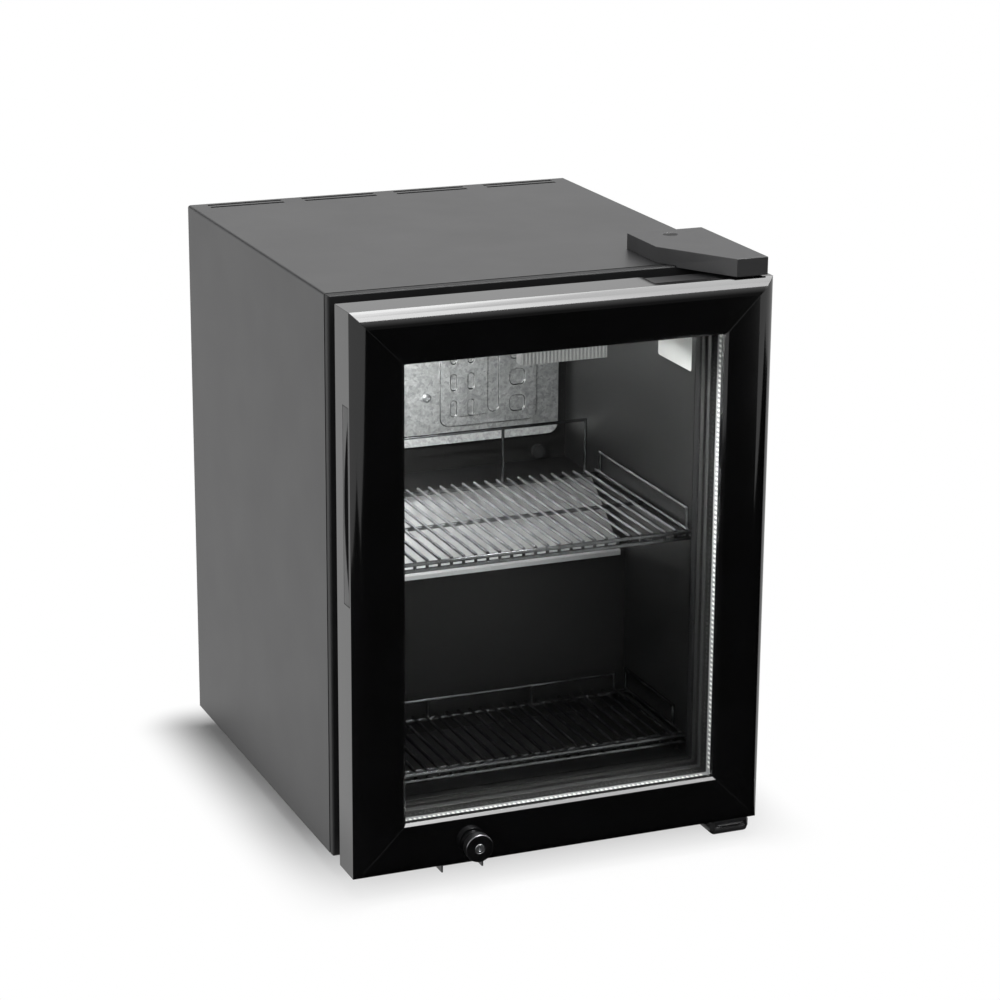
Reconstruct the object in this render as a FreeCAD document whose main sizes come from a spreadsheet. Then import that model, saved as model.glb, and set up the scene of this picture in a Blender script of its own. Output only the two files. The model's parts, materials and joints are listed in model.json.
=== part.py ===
import FreeCAD, Part
import Sketcher
import math
import os

# Countertop display fridge with a glass door
#
# A small insulated cabinet stands on four feet. Its steel shell is a folded U, its
# back is a louvred sheet, and its front is a plastic frame that the door's seal
# closes on. Foam fills the walls. The cabin is a moulded liner with a step at the
# lower back, over the compressor, and an aluminium evaporator on the upper back
# wall. Two wire shelves slide on moulded ribs. The door is four mitred aluminium
# rails round a double pane; it turns on two pins at the right, is pulled by a
# recessed grip in its left side, and locks with a cam that drops behind a strike
# under the cabinet.
#
# Lengths are millimetres. +Z is up, the door faces -Y, and the origin is the middle
# of the whole fridge's box, at the surface that it stands on.

# Driving sizes: every one can be changed by itself
SIZES = {
    # cabinet
    "cabinet_width": 380,
    "cabinet_height": 494,
    "cabinet_depth": 391,
    "foot_height": 19,
    "sheet_wall": 1,
    "fold_radius": 2.5,
    "base_sheet": 1.2,
    "side_wall": 43,
    "floor_wall": 43,
    "roof_wall": 43,
    "liner_wall": 2,
    "flange_width": 30,
    "frame_depth": 9.5,
    "frame_edge": 1.2,
    "groove_width": 1.5,
    "groove_depth": 1.5,
    "back_wall": 40,
    # cabin and the step over the compressor
    "rear_space": 64,
    "ledge_run": 75,
    "step_rise_share": 0.3701,
    "slope_run": 67,
    "slope_rise": 52,
    "rib_width": 4.5,
    "rib_height": 5,
    "rib_setback": 16,
    # air slots in the top and the back
    "vent_margin": 17.1,
    "vent_gap": 20.6,
    "vent_width": 4.5,
    "vent_inset": 7,
    "vent_row_pitch": 9.5,
    "louvre_length": 120,
    "louvre_height": 6,
    "louvre_pitch": 15,
    "louvre_start": 62,
    "louvre_offset": 84,
    # cold plate
    "plate_wall": 1.5,
    "plate_side_gap": 8,
    "plate_top_gap": 8,
    "plate_rise": 37,
    "plate_flange": 11,
    "plate_kick": 3.5,
    "plate_corner": 12,
    "panel_relief": 1.6,
    "panel_inner": 18,
    "panel_margin": 23,
    "panel_corner": 9,
    "panel_low_margin": 5,
    "panel_high_margin": 16,
    "mark_width": 6.2,
    "mark_height_share": 0.615,
    "mark_low_margin": 17,
    "mark_high_margin": 20,
    "mark_near_share": 0.138,
    "mark_far_share": 0.316,
    "channel_share": 0.546,
    "channel_width": 11,
    "cell_share": 0.796,
    "cell_width": 15.5,
    "cell_corner": 5,
    "cell_height_share": 0.596,
    "plate_screw_radius": 4.8,
    "plate_screw_head": 2.4,
    # drip plate on the step
    "drip_sheet": 1,
    "drip_lip": 3,
    "drip_side_gap": 1,
    "line_gland_radius": 6.5,
    "line_gland_length": 5,
    "line_gland_side": 29,
    "line_gland_rise": 9,
    # lamp under the roof of the cabin
    "lamp_width": 79,
    "lamp_depth": 12,
    "lamp_drop": 33,
    "lamp_offset": 23.5,
    "lamp_setback": 8.5,
    "lamp_wall": 1.5,
    "lamp_base_drop": 5,
    "lamp_board_wall": 2,
    "lamp_board_drop": 16,
    # shelves
    "long_wire": 1.5,
    "cross_wire": 1.8,
    "shelf_rim_gap": 2.6,
    "shelf_side_gap": 1,
    "shelf_front_gap": 7,
    "shelf_drop": 9,
    "upper_shelf_back_gap": 3,
    "lower_shelf_back_gap": 9,
    "side_guard": 19,
    "upper_guard_front": 1,
    "upper_guard_back": 10,
    "lower_guard_front": 20,
    "lower_guard_back": 2,
    "upper_back_guard": 49,
    "lower_back_guard": 14,
    "back_guard_side": 13,
    "guard_post_place": 51,
    "guard_bend": 5,
    "upper_shelf_lift": 2.2,
    "shelf_lift": 14.7,
    "brace_place": 13,
    "seat_gap": 0.3,
    # cooling machine
    "pot_length": 150,
    "pot_depth": 110,
    "pot_lower": 66,
    "pot_upper": 58,
    "pot_dome": 18,
    "pot_seam": 4,
    "pot_seam_height": 5,
    "pot_offset": 60,
    "pot_back_gap": 38,
    "pot_bed": 2,
    "pot_bed_margin": 12,
    "grommet_height": 12,
    "grommet_radius": 9,
    "grommet_inset": 14,
    "relay_width": 24,
    "relay_depth": 42,
    "relay_height": 50,
    "coil_tube": 2.5,
    "coil_side_gap": 40,
    "coil_low_gap": 40,
    "coil_high_gap": 51,
    "coil_wire": 0.9,
    "coil_wire_over": 12,
    "coil_clip": 10,
    "coil_clearance": 22,
    "thermostat_width": 52,
    "thermostat_depth": 30,
    "thermostat_height": 38,
    "thermostat_side": 72,
    "thermostat_place": 151,
    "knob_radius": 16,
    "knob_proud": 9,
    "knob_shaft": 3,
    "knob_shaft_length": 12,
    "knob_gap": 0.3,
    "knob_grip": 3,
    "knob_grip_depth": 4,
    "gland_radius": 9,
    "gland_bore": 3.6,
    "gland_proud": 6,
    "gland_side": 50,
    "gland_place": 21,
    # feet
    "foot_radius": 15,
    "foot_taper": 3,
    "foot_side_inset": 42,
    "foot_front_inset": 62,
    "foot_back_inset": 31,
    # door
    "door_drop": 1,
    "door_top_gap": 3,
    "door_slab": 33,
    "seal_gap": 17,
    "rail_width": 46,
    "rail_crown": 7,
    "crown_run": 15,
    "rail_bevel": 2.5,
    "rail_lip": 8,
    "rail_skin": 2.5,
    "chamber_start": 0.5,
    "glass_bite": 12,
    "pane": 4,
    "pane_gap": 15,
    "spacer_width": 6,
    "spacer_margin": 1,
    "bead_chamfer": 4,
    "key_leg": 62,
    "key_gap": 0.2,
    # seal
    "seal_margin": 1,
    "seal_width": 13,
    "seal_base": 3,
    "seal_head": 7,
    "seal_neck_inset": 3,
    "seal_touch": 0.3,
    # grip in the door's left side
    "grip_length": 170,
    "grip_width": 14,
    "grip_front": 2,
    "grip_depth": 18,
    "grip_middle": 327,
    "grip_floor": 2,
    "grip_slot_length": 140,
    "grip_slot_width": 9,
    "grip_slot_front": 2.5,
    # hinges
    "pin_side": 16,
    "pin_setback": 17,
    "pin_radius": 4,
    "pin_clearance": 0.05,
    "pin_reach": 11,
    "hinge_sheet": 2.5,
    "hinge_play": 1,
    "cap_length": 100,
    "cap_front": 9,
    "cap_depth": 14,
    "cap_side": 6,
    "cap_sink": 1,
    "cover_wall": 2,
    "cover_height": 14,
    "cover_drop": 1.5,
    "cover_side": 6,
    "cover_width": 72,
    "cover_nose": 29,
    "cover_front": 2,
    "cover_bend": 67,
    "cover_back": 126,
    "cover_seam": 0.4,
    "dimple_radius": 6.5,
    "dimple_depth": 0.8,
    "dimple_side": 33,
    "dimple_back": 18,
    "hinge_screw_radius": 4.5,
    "hinge_screw_head": 2.2,
    "low_plate_width": 30,
    "low_plate_back": 92,
    "low_plate_front": 12,
    "shoe_width": 36,
    "shoe_side": 3,
    "shoe_front": 7,
    "shoe_back": 48,
    "shoe_clear": 1.6,
    "shoe_wall": 2,
    "shoe_groove": 0.8,
    "pivot_block_height": 24,
    # lock
    "lock_offset": 82,
    "lock_rise": 19,
    "lock_radius": 12.5,
    "lock_proud": 12.2,
    "lock_rim": 8,
    "lock_collar": 10.5,
    "lock_body": 8,
    "lock_hole_gap": 0.1,
    "lock_nut_radius": 11,
    "lock_nut": 3.2,
    "plug_radius": 4,
    "plug_clearance": 0.05,
    "key_slot": 1.4,
    "key_slot_height": 5,
    "key_slot_depth": 3,
    "cam_length": 25,
    "cam_hub": 7,
    "cam_wall": 2,
    "cam_gap": 0.2,
    "strike_width": 39,
    "strike_wall": 1.5,
    "strike_front": 21,
    "strike_lip": 33.6,
    "strike_reach": 91,
    "strike_web": 2,
    "strike_lip_gap": 1.5,
    "strike_clear": 1.5,
    "strike_screw_radius": 3.5,
    "strike_screw_head": 1.8,
    # how far a cutting shape runs past what it cuts
    "overrun": 5,
}

VENT_COLUMNS = 4
VENT_ROWS = 2
LOUVRE_ROWS = 9
MARK_ROWS = 5
SHELF_WIRES_EACH_SIDE = 13
COIL_PASSES = 6
COIL_WIRES_EACH_SIDE = 5

document = FreeCAD.newDocument("CountertopFridge")
sheet = document.addObject("Spreadsheet::Sheet", "Sizes")
for row, (alias, length) in enumerate(SIZES.items(), start=1):
    sheet.set(f"A{row}", alias)
    sheet.set(f"B{row}", str(length))
    sheet.setAlias(f"B{row}", alias)
document.recompute()


class Size:
    """A length on the sheet, or a sum worked out from such lengths.

    It carries the expression that binds a feature to the sheet and the value that
    the expression has now, so that a first guess for a sketch can be drawn.
    """

    def __init__(self, text, value):
        self.text = text
        self.value = value

    def _joined(self, sign, other, value):
        return Size(f"({self.text} {sign} {as_size(other).text})", value)

    def __add__(self, other):
        return self._joined("+", other, self.value + as_size(other).value)

    def __sub__(self, other):
        return self._joined("-", other, self.value - as_size(other).value)

    def __mul__(self, other):
        return self._joined("*", other, self.value * as_size(other).value)

    def __truediv__(self, other):
        return self._joined("/", other, self.value / as_size(other).value)

    def __neg__(self):
        return Size(f"(0 - {self.text})", -self.value)


def as_size(length):
    """Turns a plain number, such as zero or a factor, into a Size."""
    if isinstance(length, Size):
        return length
    return Size(repr(length), length)


class SheetSizes:
    """Reads a driving size by its name, such as mm.pane."""

    def __getattr__(self, alias):
        return Size(f"Sizes.{alias}", float(sheet.get(alias)))


mm = SheetSizes()

# Places that the pieces share, worked out from the driving sizes
half_width = mm.cabinet_width / 2
reach = mm.door_slab + mm.seal_gap + mm.cabinet_depth
door_front = (mm.rail_crown + mm.lock_proud - reach - mm.knob_proud) / 2
door_back = door_front + mm.door_slab
frame_front = door_back + mm.seal_gap
shell_front = frame_front + mm.frame_depth
cabinet_back = frame_front + mm.cabinet_depth
cabinet_bottom = mm.foot_height
cabinet_top = cabinet_bottom + mm.cabinet_height
cabin_side = half_width - mm.side_wall
cabin_floor = cabinet_bottom + mm.floor_wall
cabin_roof = cabinet_top - mm.roof_wall
foam_back = cabinet_back - mm.rear_space
cabin_back = foam_back - mm.back_wall
ledge_front = cabin_back - mm.ledge_run
step_front = ledge_front - mm.slope_run
step_crest = cabin_floor + (cabin_roof - cabin_floor) * mm.step_rise_share
ledge_top = step_crest + mm.slope_rise
upper_rib_top = ledge_top + mm.drip_sheet + mm.upper_shelf_lift
lower_rib_top = cabin_floor + mm.shelf_lift
machine_front = step_front + mm.back_wall
machine_roof = ledge_top - mm.back_wall
base_top = cabinet_bottom + mm.base_sheet
door_side = half_width
door_bottom = cabinet_bottom - mm.door_drop
door_top = cabinet_top - mm.door_top_gap
crown_front = door_front - mm.rail_crown
pane_front = crown_front + mm.rail_lip
pane_side = door_side - mm.rail_width + mm.glass_bite
pane_bottom = door_bottom + mm.rail_width - mm.glass_bite
pane_top = door_top - mm.rail_width + mm.glass_bite
spacer_front = pane_front + mm.pane
spacer_back = spacer_front + mm.pane_gap
bead_front = spacer_back + mm.pane
pin_x = door_side - mm.pin_side
pin_y = door_front + mm.pin_setback
lock_z = door_bottom + mm.lock_rise
switch_centre = (half_width - mm.thermostat_side, cabinet_bottom + mm.thermostat_place)
gland_centre = (half_width - mm.gland_side, cabinet_bottom + mm.gland_place)

SUB_PARTS = []


def sub_part(feature, label):
    """Names a finished piece and puts it on the list of files to write."""
    feature.Label = label
    SUB_PARTS.append(feature)
    return feature


def block(name, across, along, upward):
    """A box between two places on each of the axes X, Y and Z."""
    box = document.addObject("Part::Box", name)
    spans = (("Length", "x", across), ("Width", "y", along), ("Height", "z", upward))
    for side, axis, (low, high) in spans:
        box.setExpression(side, (as_size(high) - low).text)
        box.setExpression(f"Placement.Base.{axis}", as_size(low).text)
    return box


# Turns that lay a cylinder's own axis along each of the frame's axes
TURNS = {
    "X": FreeCAD.Rotation(FreeCAD.Vector(0, 1, 0), 90),
    "Y": FreeCAD.Rotation(FreeCAD.Vector(1, 0, 0), -90),
    "Z": FreeCAD.Rotation(),
}


def placed_along(feature, axis, start, centre):
    """Lays a round feature along an axis, from a start place, on a centre line."""
    feature.Placement = FreeCAD.Placement(FreeCAD.Vector(), TURNS[axis])
    others = [name for name in "XYZ" if name != axis]
    places = dict(zip(others, centre))
    places[axis] = start
    for name, place in places.items():
        feature.setExpression(f"Placement.Base.{name.lower()}", as_size(place).text)
    return feature


def rod(name, axis, centre, span, radius):
    """A cylinder along an axis, between two places on it."""
    cylinder = document.addObject("Part::Cylinder", name)
    cylinder.setExpression("Radius", radius.text)
    cylinder.setExpression("Height", (as_size(span[1]) - span[0]).text)
    return placed_along(cylinder, axis, span[0], centre)


def cone(name, axis, centre, span, radii):
    """A cylinder whose radius changes from its start to its end."""
    feature = document.addObject("Part::Cone", name)
    feature.setExpression("Radius1", radii[0].text)
    feature.setExpression("Radius2", radii[1].text)
    feature.setExpression("Height", (as_size(span[1]) - span[0]).text)
    return placed_along(feature, axis, span[0], centre)


def joined(name, *shapes):
    """One solid made of several that meet."""
    feature = document.addObject("Part::MultiFuse", name)
    feature.Shapes = list(shapes)
    feature.Refine = True
    return feature


def group(name, *shapes):
    """Separate solids that share a node, such as a set of screws."""
    feature = document.addObject("Part::Compound", name)
    feature.Links = list(shapes)
    return feature


def cut(name, base, *tools):
    """A solid with one or more shapes taken out of it."""
    feature = document.addObject("Part::Cut", name)
    feature.Base = base
    feature.Tool = tools[0] if len(tools) == 1 else joined(f"{name}_tools", *tools)
    feature.Refine = True
    return feature


def ring(name, outer, inner, along):
    """A rectangular frame round an opening, with its plane across Y.

    outer and inner are (half width, bottom, top).
    """
    rim = block(f"{name}_rim", (-outer[0], outer[0]), along, outer[1:])
    past = (along[0] - mm.overrun, along[1] + mm.overrun)
    opening = block(f"{name}_opening", (-inner[0], inner[0]), past, inner[1:])
    return cut(name, rim, opening)


# A sketch plane's role, and the sign of its normal along the axis it faces
PLANES = {"XY": ("XY_Plane", 1), "XZ": ("XZ_Plane", -1), "YZ": ("YZ_Plane", 1)}


def arc_between(start, end, radius, side):
    """A short arc of a radius, bending left or right on its way."""
    middle = (start + end) / 2
    chord = end - start
    across = FreeCAD.Vector(-chord.y, chord.x, 0).normalize()
    rise = math.sqrt(max(radius ** 2 - (chord.Length / 2) ** 2, 0))
    centre = middle + across * (rise if side == "left" else -rise)
    first, last = (start, end) if side == "left" else (end, start)
    angles = [math.atan2(p.y - centre.y, p.x - centre.x) for p in (first, last)]
    circle = Part.Circle(centre, FreeCAD.Vector(0, 0, 1), radius)
    return Part.ArcOfCircle(circle, angles[0], angles[1])


def draw_outlines(sketch, outlines):
    """Draws closed outlines and binds each of their corners to the sheet.

    A point is (place, place), or (place, place, side, radius) where an arc bending to
    that side leads on to the next point.
    """
    lines = []
    ties = []
    bound = []
    for points in outlines:
        first = len(lines)
        corners = [FreeCAD.Vector(as_size(p[0]).value, as_size(p[1]).value, 0) for p in points]
        starts = []
        ends = []
        for index, point in enumerate(points):
            start = corners[index]
            end = corners[(index + 1) % len(points)]
            if len(point) == 2:
                lines.append(Part.LineSegment(start, end))
            else:
                lines.append(arc_between(start, end, point[3].value, point[2]))
            turned = len(point) == 4 and point[2] == "right"
            starts.append(2 if turned else 1)
            ends.append(1 if turned else 2)
        for index, point in enumerate(points):
            following = (index + 1) % len(points)
            ties.append(Sketcher.Constraint("Coincident", first + index, ends[index],
                                            first + following, starts[following]))
            for kind, place in (("DistanceX", point[0]), ("DistanceY", point[1])):
                size = as_size(place)
                bound.append((len(ties), size.text))
                ties.append(Sketcher.Constraint(
                    kind, -1, 1, first + index, starts[index], size.value))
            if len(point) == 4:
                bound.append((len(ties), point[3].text))
                ties.append(Sketcher.Constraint("Radius", first + index, point[3].value))
    sketch.addGeometry(lines, False)
    sketch.addConstraint(ties)
    for number, text in bound:
        sketch.setExpression(f"Constraints[{number}]", text)


def sketch_in(body, plane, level, outlines):
    """A sketch of closed outlines on one of a body's planes, moved out to a level."""
    role, sign = PLANES[plane]
    sketch = body.newObject("Sketcher::SketchObject", f"{body.Name}_outline")
    origin_plane = [o for o in body.Origin.OriginFeatures if o.Role == role][0]
    sketch.AttachmentSupport = [(origin_plane, "")]
    sketch.MapMode = "FlatFace"
    sketch.setExpression("AttachmentOffset.Base.z", (as_size(level) * sign).text)
    draw_outlines(sketch, outlines)
    return sketch


def new_body(name):
    return document.addObject("PartDesign::Body", name)


def pad(body, plane, span, *outlines):
    """Pads outlines from one level to a higher one, along the plane's axis."""
    low, high = span
    feature = body.newObject("PartDesign::Pad", f"{body.Name}_pad")
    feature.Profile = sketch_in(body, plane, low, outlines)
    feature.setExpression("Length", (as_size(high) - low).text)
    feature.Reversed = PLANES[plane][1] < 0
    return feature


def pocket(body, plane, span, *outlines):
    """Cuts outlines out of a body from one level to a higher one."""
    low, high = span
    feature = body.newObject("PartDesign::Pocket", f"{body.Name}_pocket")
    feature.Profile = sketch_in(body, plane, low, outlines)
    feature.setExpression("Length", (as_size(high) - low).text)
    feature.Reversed = PLANES[plane][1] > 0
    return feature


def eased(body, base, kind, size_name, size, chosen):
    """Rounds or chamfers the edges of a body's feature that a test picks out."""
    document.recompute()
    names = [f"Edge{i}" for i, edge in enumerate(base.Shape.Edges, start=1) if chosen(edge)]
    feature = body.newObject(f"PartDesign::{kind}", f"{body.Name}_{kind.lower()}")
    feature.Base = (base, names)
    feature.setExpression(size_name, size.text)
    return feature


def box_outline(low_a, high_a, low_b, high_b):
    return [(low_a, low_b), (high_a, low_b), (high_a, high_b), (low_a, high_b)]


def rounded_outline(low_a, high_a, low_b, high_b, turn):
    """A box with round corners, each drawn as a quarter arc."""
    return [
        (low_a + turn, low_b),
        (high_a - turn, low_b, "left", turn),
        (high_a, low_b + turn),
        (high_a, high_b - turn, "left", turn),
        (high_a - turn, high_b),
        (low_a + turn, high_b, "left", turn),
        (low_a, high_b - turn),
        (low_a, low_b + turn, "left", turn),
    ]


def slot_outline(middle_a, middle_b, width, height):
    """An upright slot with round ends, each end drawn as two quarter arcs."""
    half = width / 2
    rise = (height - width) / 2
    return [
        (middle_a + half, middle_b - rise),
        (middle_a + half, middle_b + rise, "left", half),
        (middle_a, middle_b + height / 2, "left", half),
        (middle_a - half, middle_b + rise),
        (middle_a - half, middle_b - rise, "left", half),
        (middle_a, middle_b - height / 2, "left", half),
    ]


def along_edge(edge, axis):
    """Whether a straight edge runs along an axis."""
    if not isinstance(edge.Curve, Part.Line):
        return False
    return abs(getattr(edge.Curve.Direction, axis)) > 1 - 1e-6


def close(value, size):
    return abs(value - as_size(size).value) < 1e-4


# Shell: one sheet folded over the top, open below and at the back

def shell_section():
    """The folded sheet seen from the front: two sides and the top, with bent corners."""
    inner_fold = mm.fold_radius - mm.sheet_wall
    inner_side = half_width - mm.sheet_wall
    inner_top = cabinet_top - mm.sheet_wall
    fold_side = half_width - mm.fold_radius
    fold_top = cabinet_top - mm.fold_radius
    return [
        (half_width, cabinet_bottom),
        (half_width, fold_top, "left", mm.fold_radius),
        (fold_side, cabinet_top),
        (-fold_side, cabinet_top, "left", mm.fold_radius),
        (-half_width, fold_top),
        (-half_width, cabinet_bottom),
        (-inner_side, cabinet_bottom),
        (-inner_side, fold_top, "right", inner_fold),
        (-fold_side, inner_top),
        (fold_side, inner_top, "right", inner_fold),
        (inner_side, fold_top),
        (inner_side, cabinet_bottom),
    ]


def make_shell():
    body = new_body("shell_sheet")
    pad(body, "XZ", (shell_front, cabinet_back), shell_section())
    slots = []
    pitch = (mm.cabinet_width - mm.vent_margin * 2 + mm.vent_gap) / VENT_COLUMNS
    length = pitch - mm.vent_gap
    for column in range(VENT_COLUMNS):
        middle = pitch * (column - (VENT_COLUMNS - 1) / 2)
        for line in range(VENT_ROWS):
            place = cabinet_back - mm.vent_inset - mm.vent_row_pitch * line
            slots.append(block(
                f"vent_{column}_{line}",
                (middle - length / 2, middle + length / 2),
                (place - mm.vent_width / 2, place + mm.vent_width / 2),
                (cabinet_top - mm.overrun, cabinet_top + mm.overrun)))
    return sub_part(cut("shell", body, *slots), "outer_shell")


def cabin_profile(wall):
    """The cabin seen from the side, grown all round by a wall, open at the front."""
    return [
        (shell_front - mm.overrun, cabin_floor - wall),
        (step_front + wall, cabin_floor - wall),
        (step_front + wall, step_crest - wall),
        (ledge_front + wall, ledge_top - wall),
        (cabin_back + wall, ledge_top - wall),
        (cabin_back + wall, cabin_roof + wall),
        (shell_front - mm.overrun, cabin_roof + wall),
    ]


def make_foam():
    """Poured foam between the shell and the liner, cut away round the machine."""
    body = new_body("foam")
    foam_side = half_width - mm.sheet_wall
    foam_front = shell_front + mm.liner_wall
    foam_top = cabinet_top - mm.sheet_wall
    whole = pad(body, "YZ", (-foam_side, foam_side), [
        (foam_front, base_top),
        (machine_front, base_top),
        (machine_front, step_crest - mm.back_wall),
        (ledge_front, machine_roof),
        (foam_back, machine_roof),
        (foam_back, foam_top),
        (foam_front, foam_top),
    ])

    def at_top_corner(edge):
        high = close(edge.BoundBox.ZMin, foam_top) and close(abs(edge.BoundBox.XMin), foam_side)
        return along_edge(edge, "y") and high

    eased(body, whole, "Fillet", "Radius", mm.fold_radius - mm.sheet_wall, at_top_corner)
    lined = cabin_side + mm.liner_wall
    pocket(body, "YZ", (-lined, lined), cabin_profile(mm.liner_wall))
    return sub_part(body, "insulation_foam")


def make_liner():
    """Moulded cabin: walls, front flange, the step at the back, and the shelf ribs."""
    body = new_body("liner")
    lined = cabin_side + mm.liner_wall
    outside = cabin_profile(mm.liner_wall)
    outside[0] = (shell_front, cabin_floor - mm.liner_wall)
    outside[-1] = (shell_front, cabin_roof + mm.liner_wall)
    pad(body, "YZ", (-lined, lined), outside)
    flange = cabin_side + mm.flange_width
    pad(body, "XZ", (shell_front, shell_front + mm.liner_wall), box_outline(
        -flange, flange, cabin_floor - mm.flange_width, cabin_roof + mm.flange_width))
    pocket(body, "YZ", (-cabin_side, cabin_side), cabin_profile(0))
    rib_front = shell_front + mm.rib_setback
    for name, bottom, top, back in (
            ("upper", upper_rib_top - mm.rib_height, upper_rib_top, ledge_front),
            ("lower", cabin_floor, lower_rib_top, step_front)):
        for side, inner, outer in (
                ("left", -cabin_side, mm.rib_width - cabin_side),
                ("right", cabin_side - mm.rib_width, cabin_side)):
            pad(body, "YZ", (inner, outer), box_outline(rib_front, back, bottom, top))
    return sub_part(body, "inner_liner")


def make_front_frame():
    """Plastic frame that the seal closes on, with a shadow groove behind its rim."""
    body = new_body("frame")
    rim_back = shell_front - mm.groove_width
    opening = box_outline(-cabin_side, cabin_side, cabin_floor, cabin_roof)
    rim = pad(body, "XZ", (frame_front, rim_back),
              box_outline(-half_width, half_width, cabinet_bottom, cabinet_top), opening)

    def at_front_rim(edge):
        flat = close(edge.BoundBox.YMin, frame_front) and close(edge.BoundBox.YMax, frame_front)
        return flat and edge.Length > mm.cabinet_width.value * 0.9

    eased(body, rim, "Chamfer", "Size", mm.frame_edge, at_front_rim)
    deep = mm.groove_depth
    pad(body, "XZ", (rim_back, shell_front),
        box_outline(deep - half_width, half_width - deep, cabinet_bottom + deep, cabinet_top - deep),
        opening)
    return sub_part(body, "front_frame")


def make_base():
    side = half_width - mm.sheet_wall
    back = cabinet_back - mm.sheet_wall
    plate = block("base", (-side, side), (shell_front, back), (cabinet_bottom, base_top))
    return sub_part(plate, "base_plate")


def make_rear_panel():
    """Louvred sheet with a hole for the thermostat's shaft and one for the mains gland."""
    side = half_width - mm.sheet_wall
    front = cabinet_back - mm.sheet_wall
    sheet_metal = block("rear", (-side, side), (front, cabinet_back),
                        (cabinet_bottom, cabinet_top - mm.fold_radius))
    past = (front - mm.overrun, cabinet_back + mm.overrun)
    openings = []
    for line in range(LOUVRE_ROWS):
        low = cabinet_bottom + mm.louvre_start + mm.louvre_pitch * line
        for name, middle in (("left", -mm.louvre_offset), ("right", mm.louvre_offset)):
            if name == "right" and line >= LOUVRE_ROWS // 2:
                continue
            openings.append(block(
                f"louvre_{name}_{line}",
                (middle - mm.louvre_length / 2, middle + mm.louvre_length / 2),
                past, (low, low + mm.louvre_height)))
    openings.append(rod("shaft_hole", "Y", switch_centre, past, mm.knob_shaft + mm.knob_gap))
    openings.append(rod("gland_hole", "Y", gland_centre, past, mm.gland_bore * 2))
    return sub_part(cut("rear_sheet", sheet_metal, *openings), "rear_panel")


def make_feet():
    feet = []
    side = half_width - mm.foot_side_inset
    places = (frame_front + mm.foot_front_inset, cabinet_back - mm.foot_back_inset)
    for across in (-side, side):
        for along in places:
            feet.append(cone(f"foot_{len(feet)}", "Z", (across, along), (0, cabinet_bottom),
                             (mm.foot_radius - mm.foot_taper, mm.foot_radius)))
    return sub_part(group("foot_set", *feet), "feet")


# Cold side: the evaporator, the drip plate under it and the lamp

def make_evaporator():
    """Roll-bonded plate: a raised field on each half, with sunk cells and a channel."""
    body = new_body("cold_plate")
    back = cabin_back
    face = back - mm.plate_wall
    side = cabin_side - mm.plate_side_gap
    fold = ledge_top + mm.plate_rise
    top = cabin_roof - mm.plate_top_gap
    pad(body, "YZ", (-side, side), [
        (face, top), (face, fold),
        (face - mm.plate_kick, fold - mm.plate_flange),
        (back - mm.plate_kick, fold - mm.plate_flange),
        (back, fold), (back, top),
    ])

    bottom = fold - mm.plate_flange
    turn = mm.plate_corner
    past = mm.overrun
    pocket(body, "XZ", (face - mm.plate_kick - past, back), *[
        [
            ((side + past) * sign, bottom - past),
            ((side + past) * sign, bottom + turn),
            (side * sign, bottom + turn, "right" if sign > 0 else "left", turn),
            ((side - turn) * sign, bottom),
            ((side - turn) * sign, bottom - past),
        ]
        for sign in (1, -1)])
    low = fold + mm.panel_low_margin
    high = top - mm.panel_high_margin
    relief_face = face - mm.panel_relief
    for sign in (1, -1):
        ends = sorted((mm.panel_inner * sign, (side - mm.panel_margin) * sign),
                      key=lambda place: place.value)
        pad(body, "XZ", (relief_face, face),
            rounded_outline(ends[0], ends[1], low, high, mm.panel_corner))
    panel_width = side - mm.panel_margin - mm.panel_inner
    channel = mm.panel_inner + panel_width * mm.channel_share
    pocket(body, "XZ", (relief_face, face), *[
        slot_outline(channel * sign, (low + high) / 2, mm.channel_width,
                     high - low - mm.channel_width * 2)
        for sign in (1, -1)])
    pitch = (high - low - mm.mark_low_margin - mm.mark_high_margin) / (MARK_ROWS - 1)
    half_cell = mm.cell_width / 2
    cell_rise = pitch * mm.cell_height_share / 2
    cell = mm.panel_inner + panel_width * mm.cell_share
    for line in range(MARK_ROWS):
        middle = low + mm.mark_low_margin + pitch * line
        sunk = []
        for sign in (1, -1):
            for share in (mm.mark_near_share, mm.mark_far_share):
                place = (mm.panel_inner + panel_width * share) * sign
                sunk.append(slot_outline(place, middle, mm.mark_width,
                                         pitch * mm.mark_height_share))
            sunk.append(rounded_outline(cell * sign - half_cell, cell * sign + half_cell,
                                        middle - cell_rise, middle + cell_rise, mm.cell_corner))
        pocket(body, "XZ", (relief_face, face), *sunk)
    return sub_part(body, "evaporator_plate")


def make_evaporator_screws():
    face = cabin_back - mm.plate_wall
    fold = ledge_top + mm.plate_rise
    heads = []
    outer = cabin_side - mm.plate_side_gap - mm.panel_margin / 2
    low = fold + mm.panel_low_margin * 7
    high = cabin_roof - mm.plate_top_gap - mm.panel_high_margin
    for across, upward in ((mm.panel_inner / 4, low), (mm.panel_inner / 4, high),
                           (-outer, low), (outer, high)):
        heads.append(rod(f"plate_screw_{len(heads)}", "Y", (across, upward),
                         (face - mm.plate_screw_head, face), mm.plate_screw_radius))
    return sub_part(group("plate_screws", *heads), "evaporator_screws")


def make_drip_plate():
    """Aluminium sheet on the sloped top of the step, hooked over its front edge."""
    body = new_body("drip")
    side = cabin_side - mm.rib_width - mm.drip_side_gap
    nose = step_front - mm.drip_sheet
    pad(body, "YZ", (-side, side), [
        (nose, step_crest - mm.drip_lip), (step_front, step_crest - mm.drip_lip),
        (step_front, step_crest), (ledge_front, ledge_top),
        (ledge_front, ledge_top + mm.drip_sheet), (nose, step_crest + mm.drip_sheet),
    ])
    return sub_part(body, "drip_plate")


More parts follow.
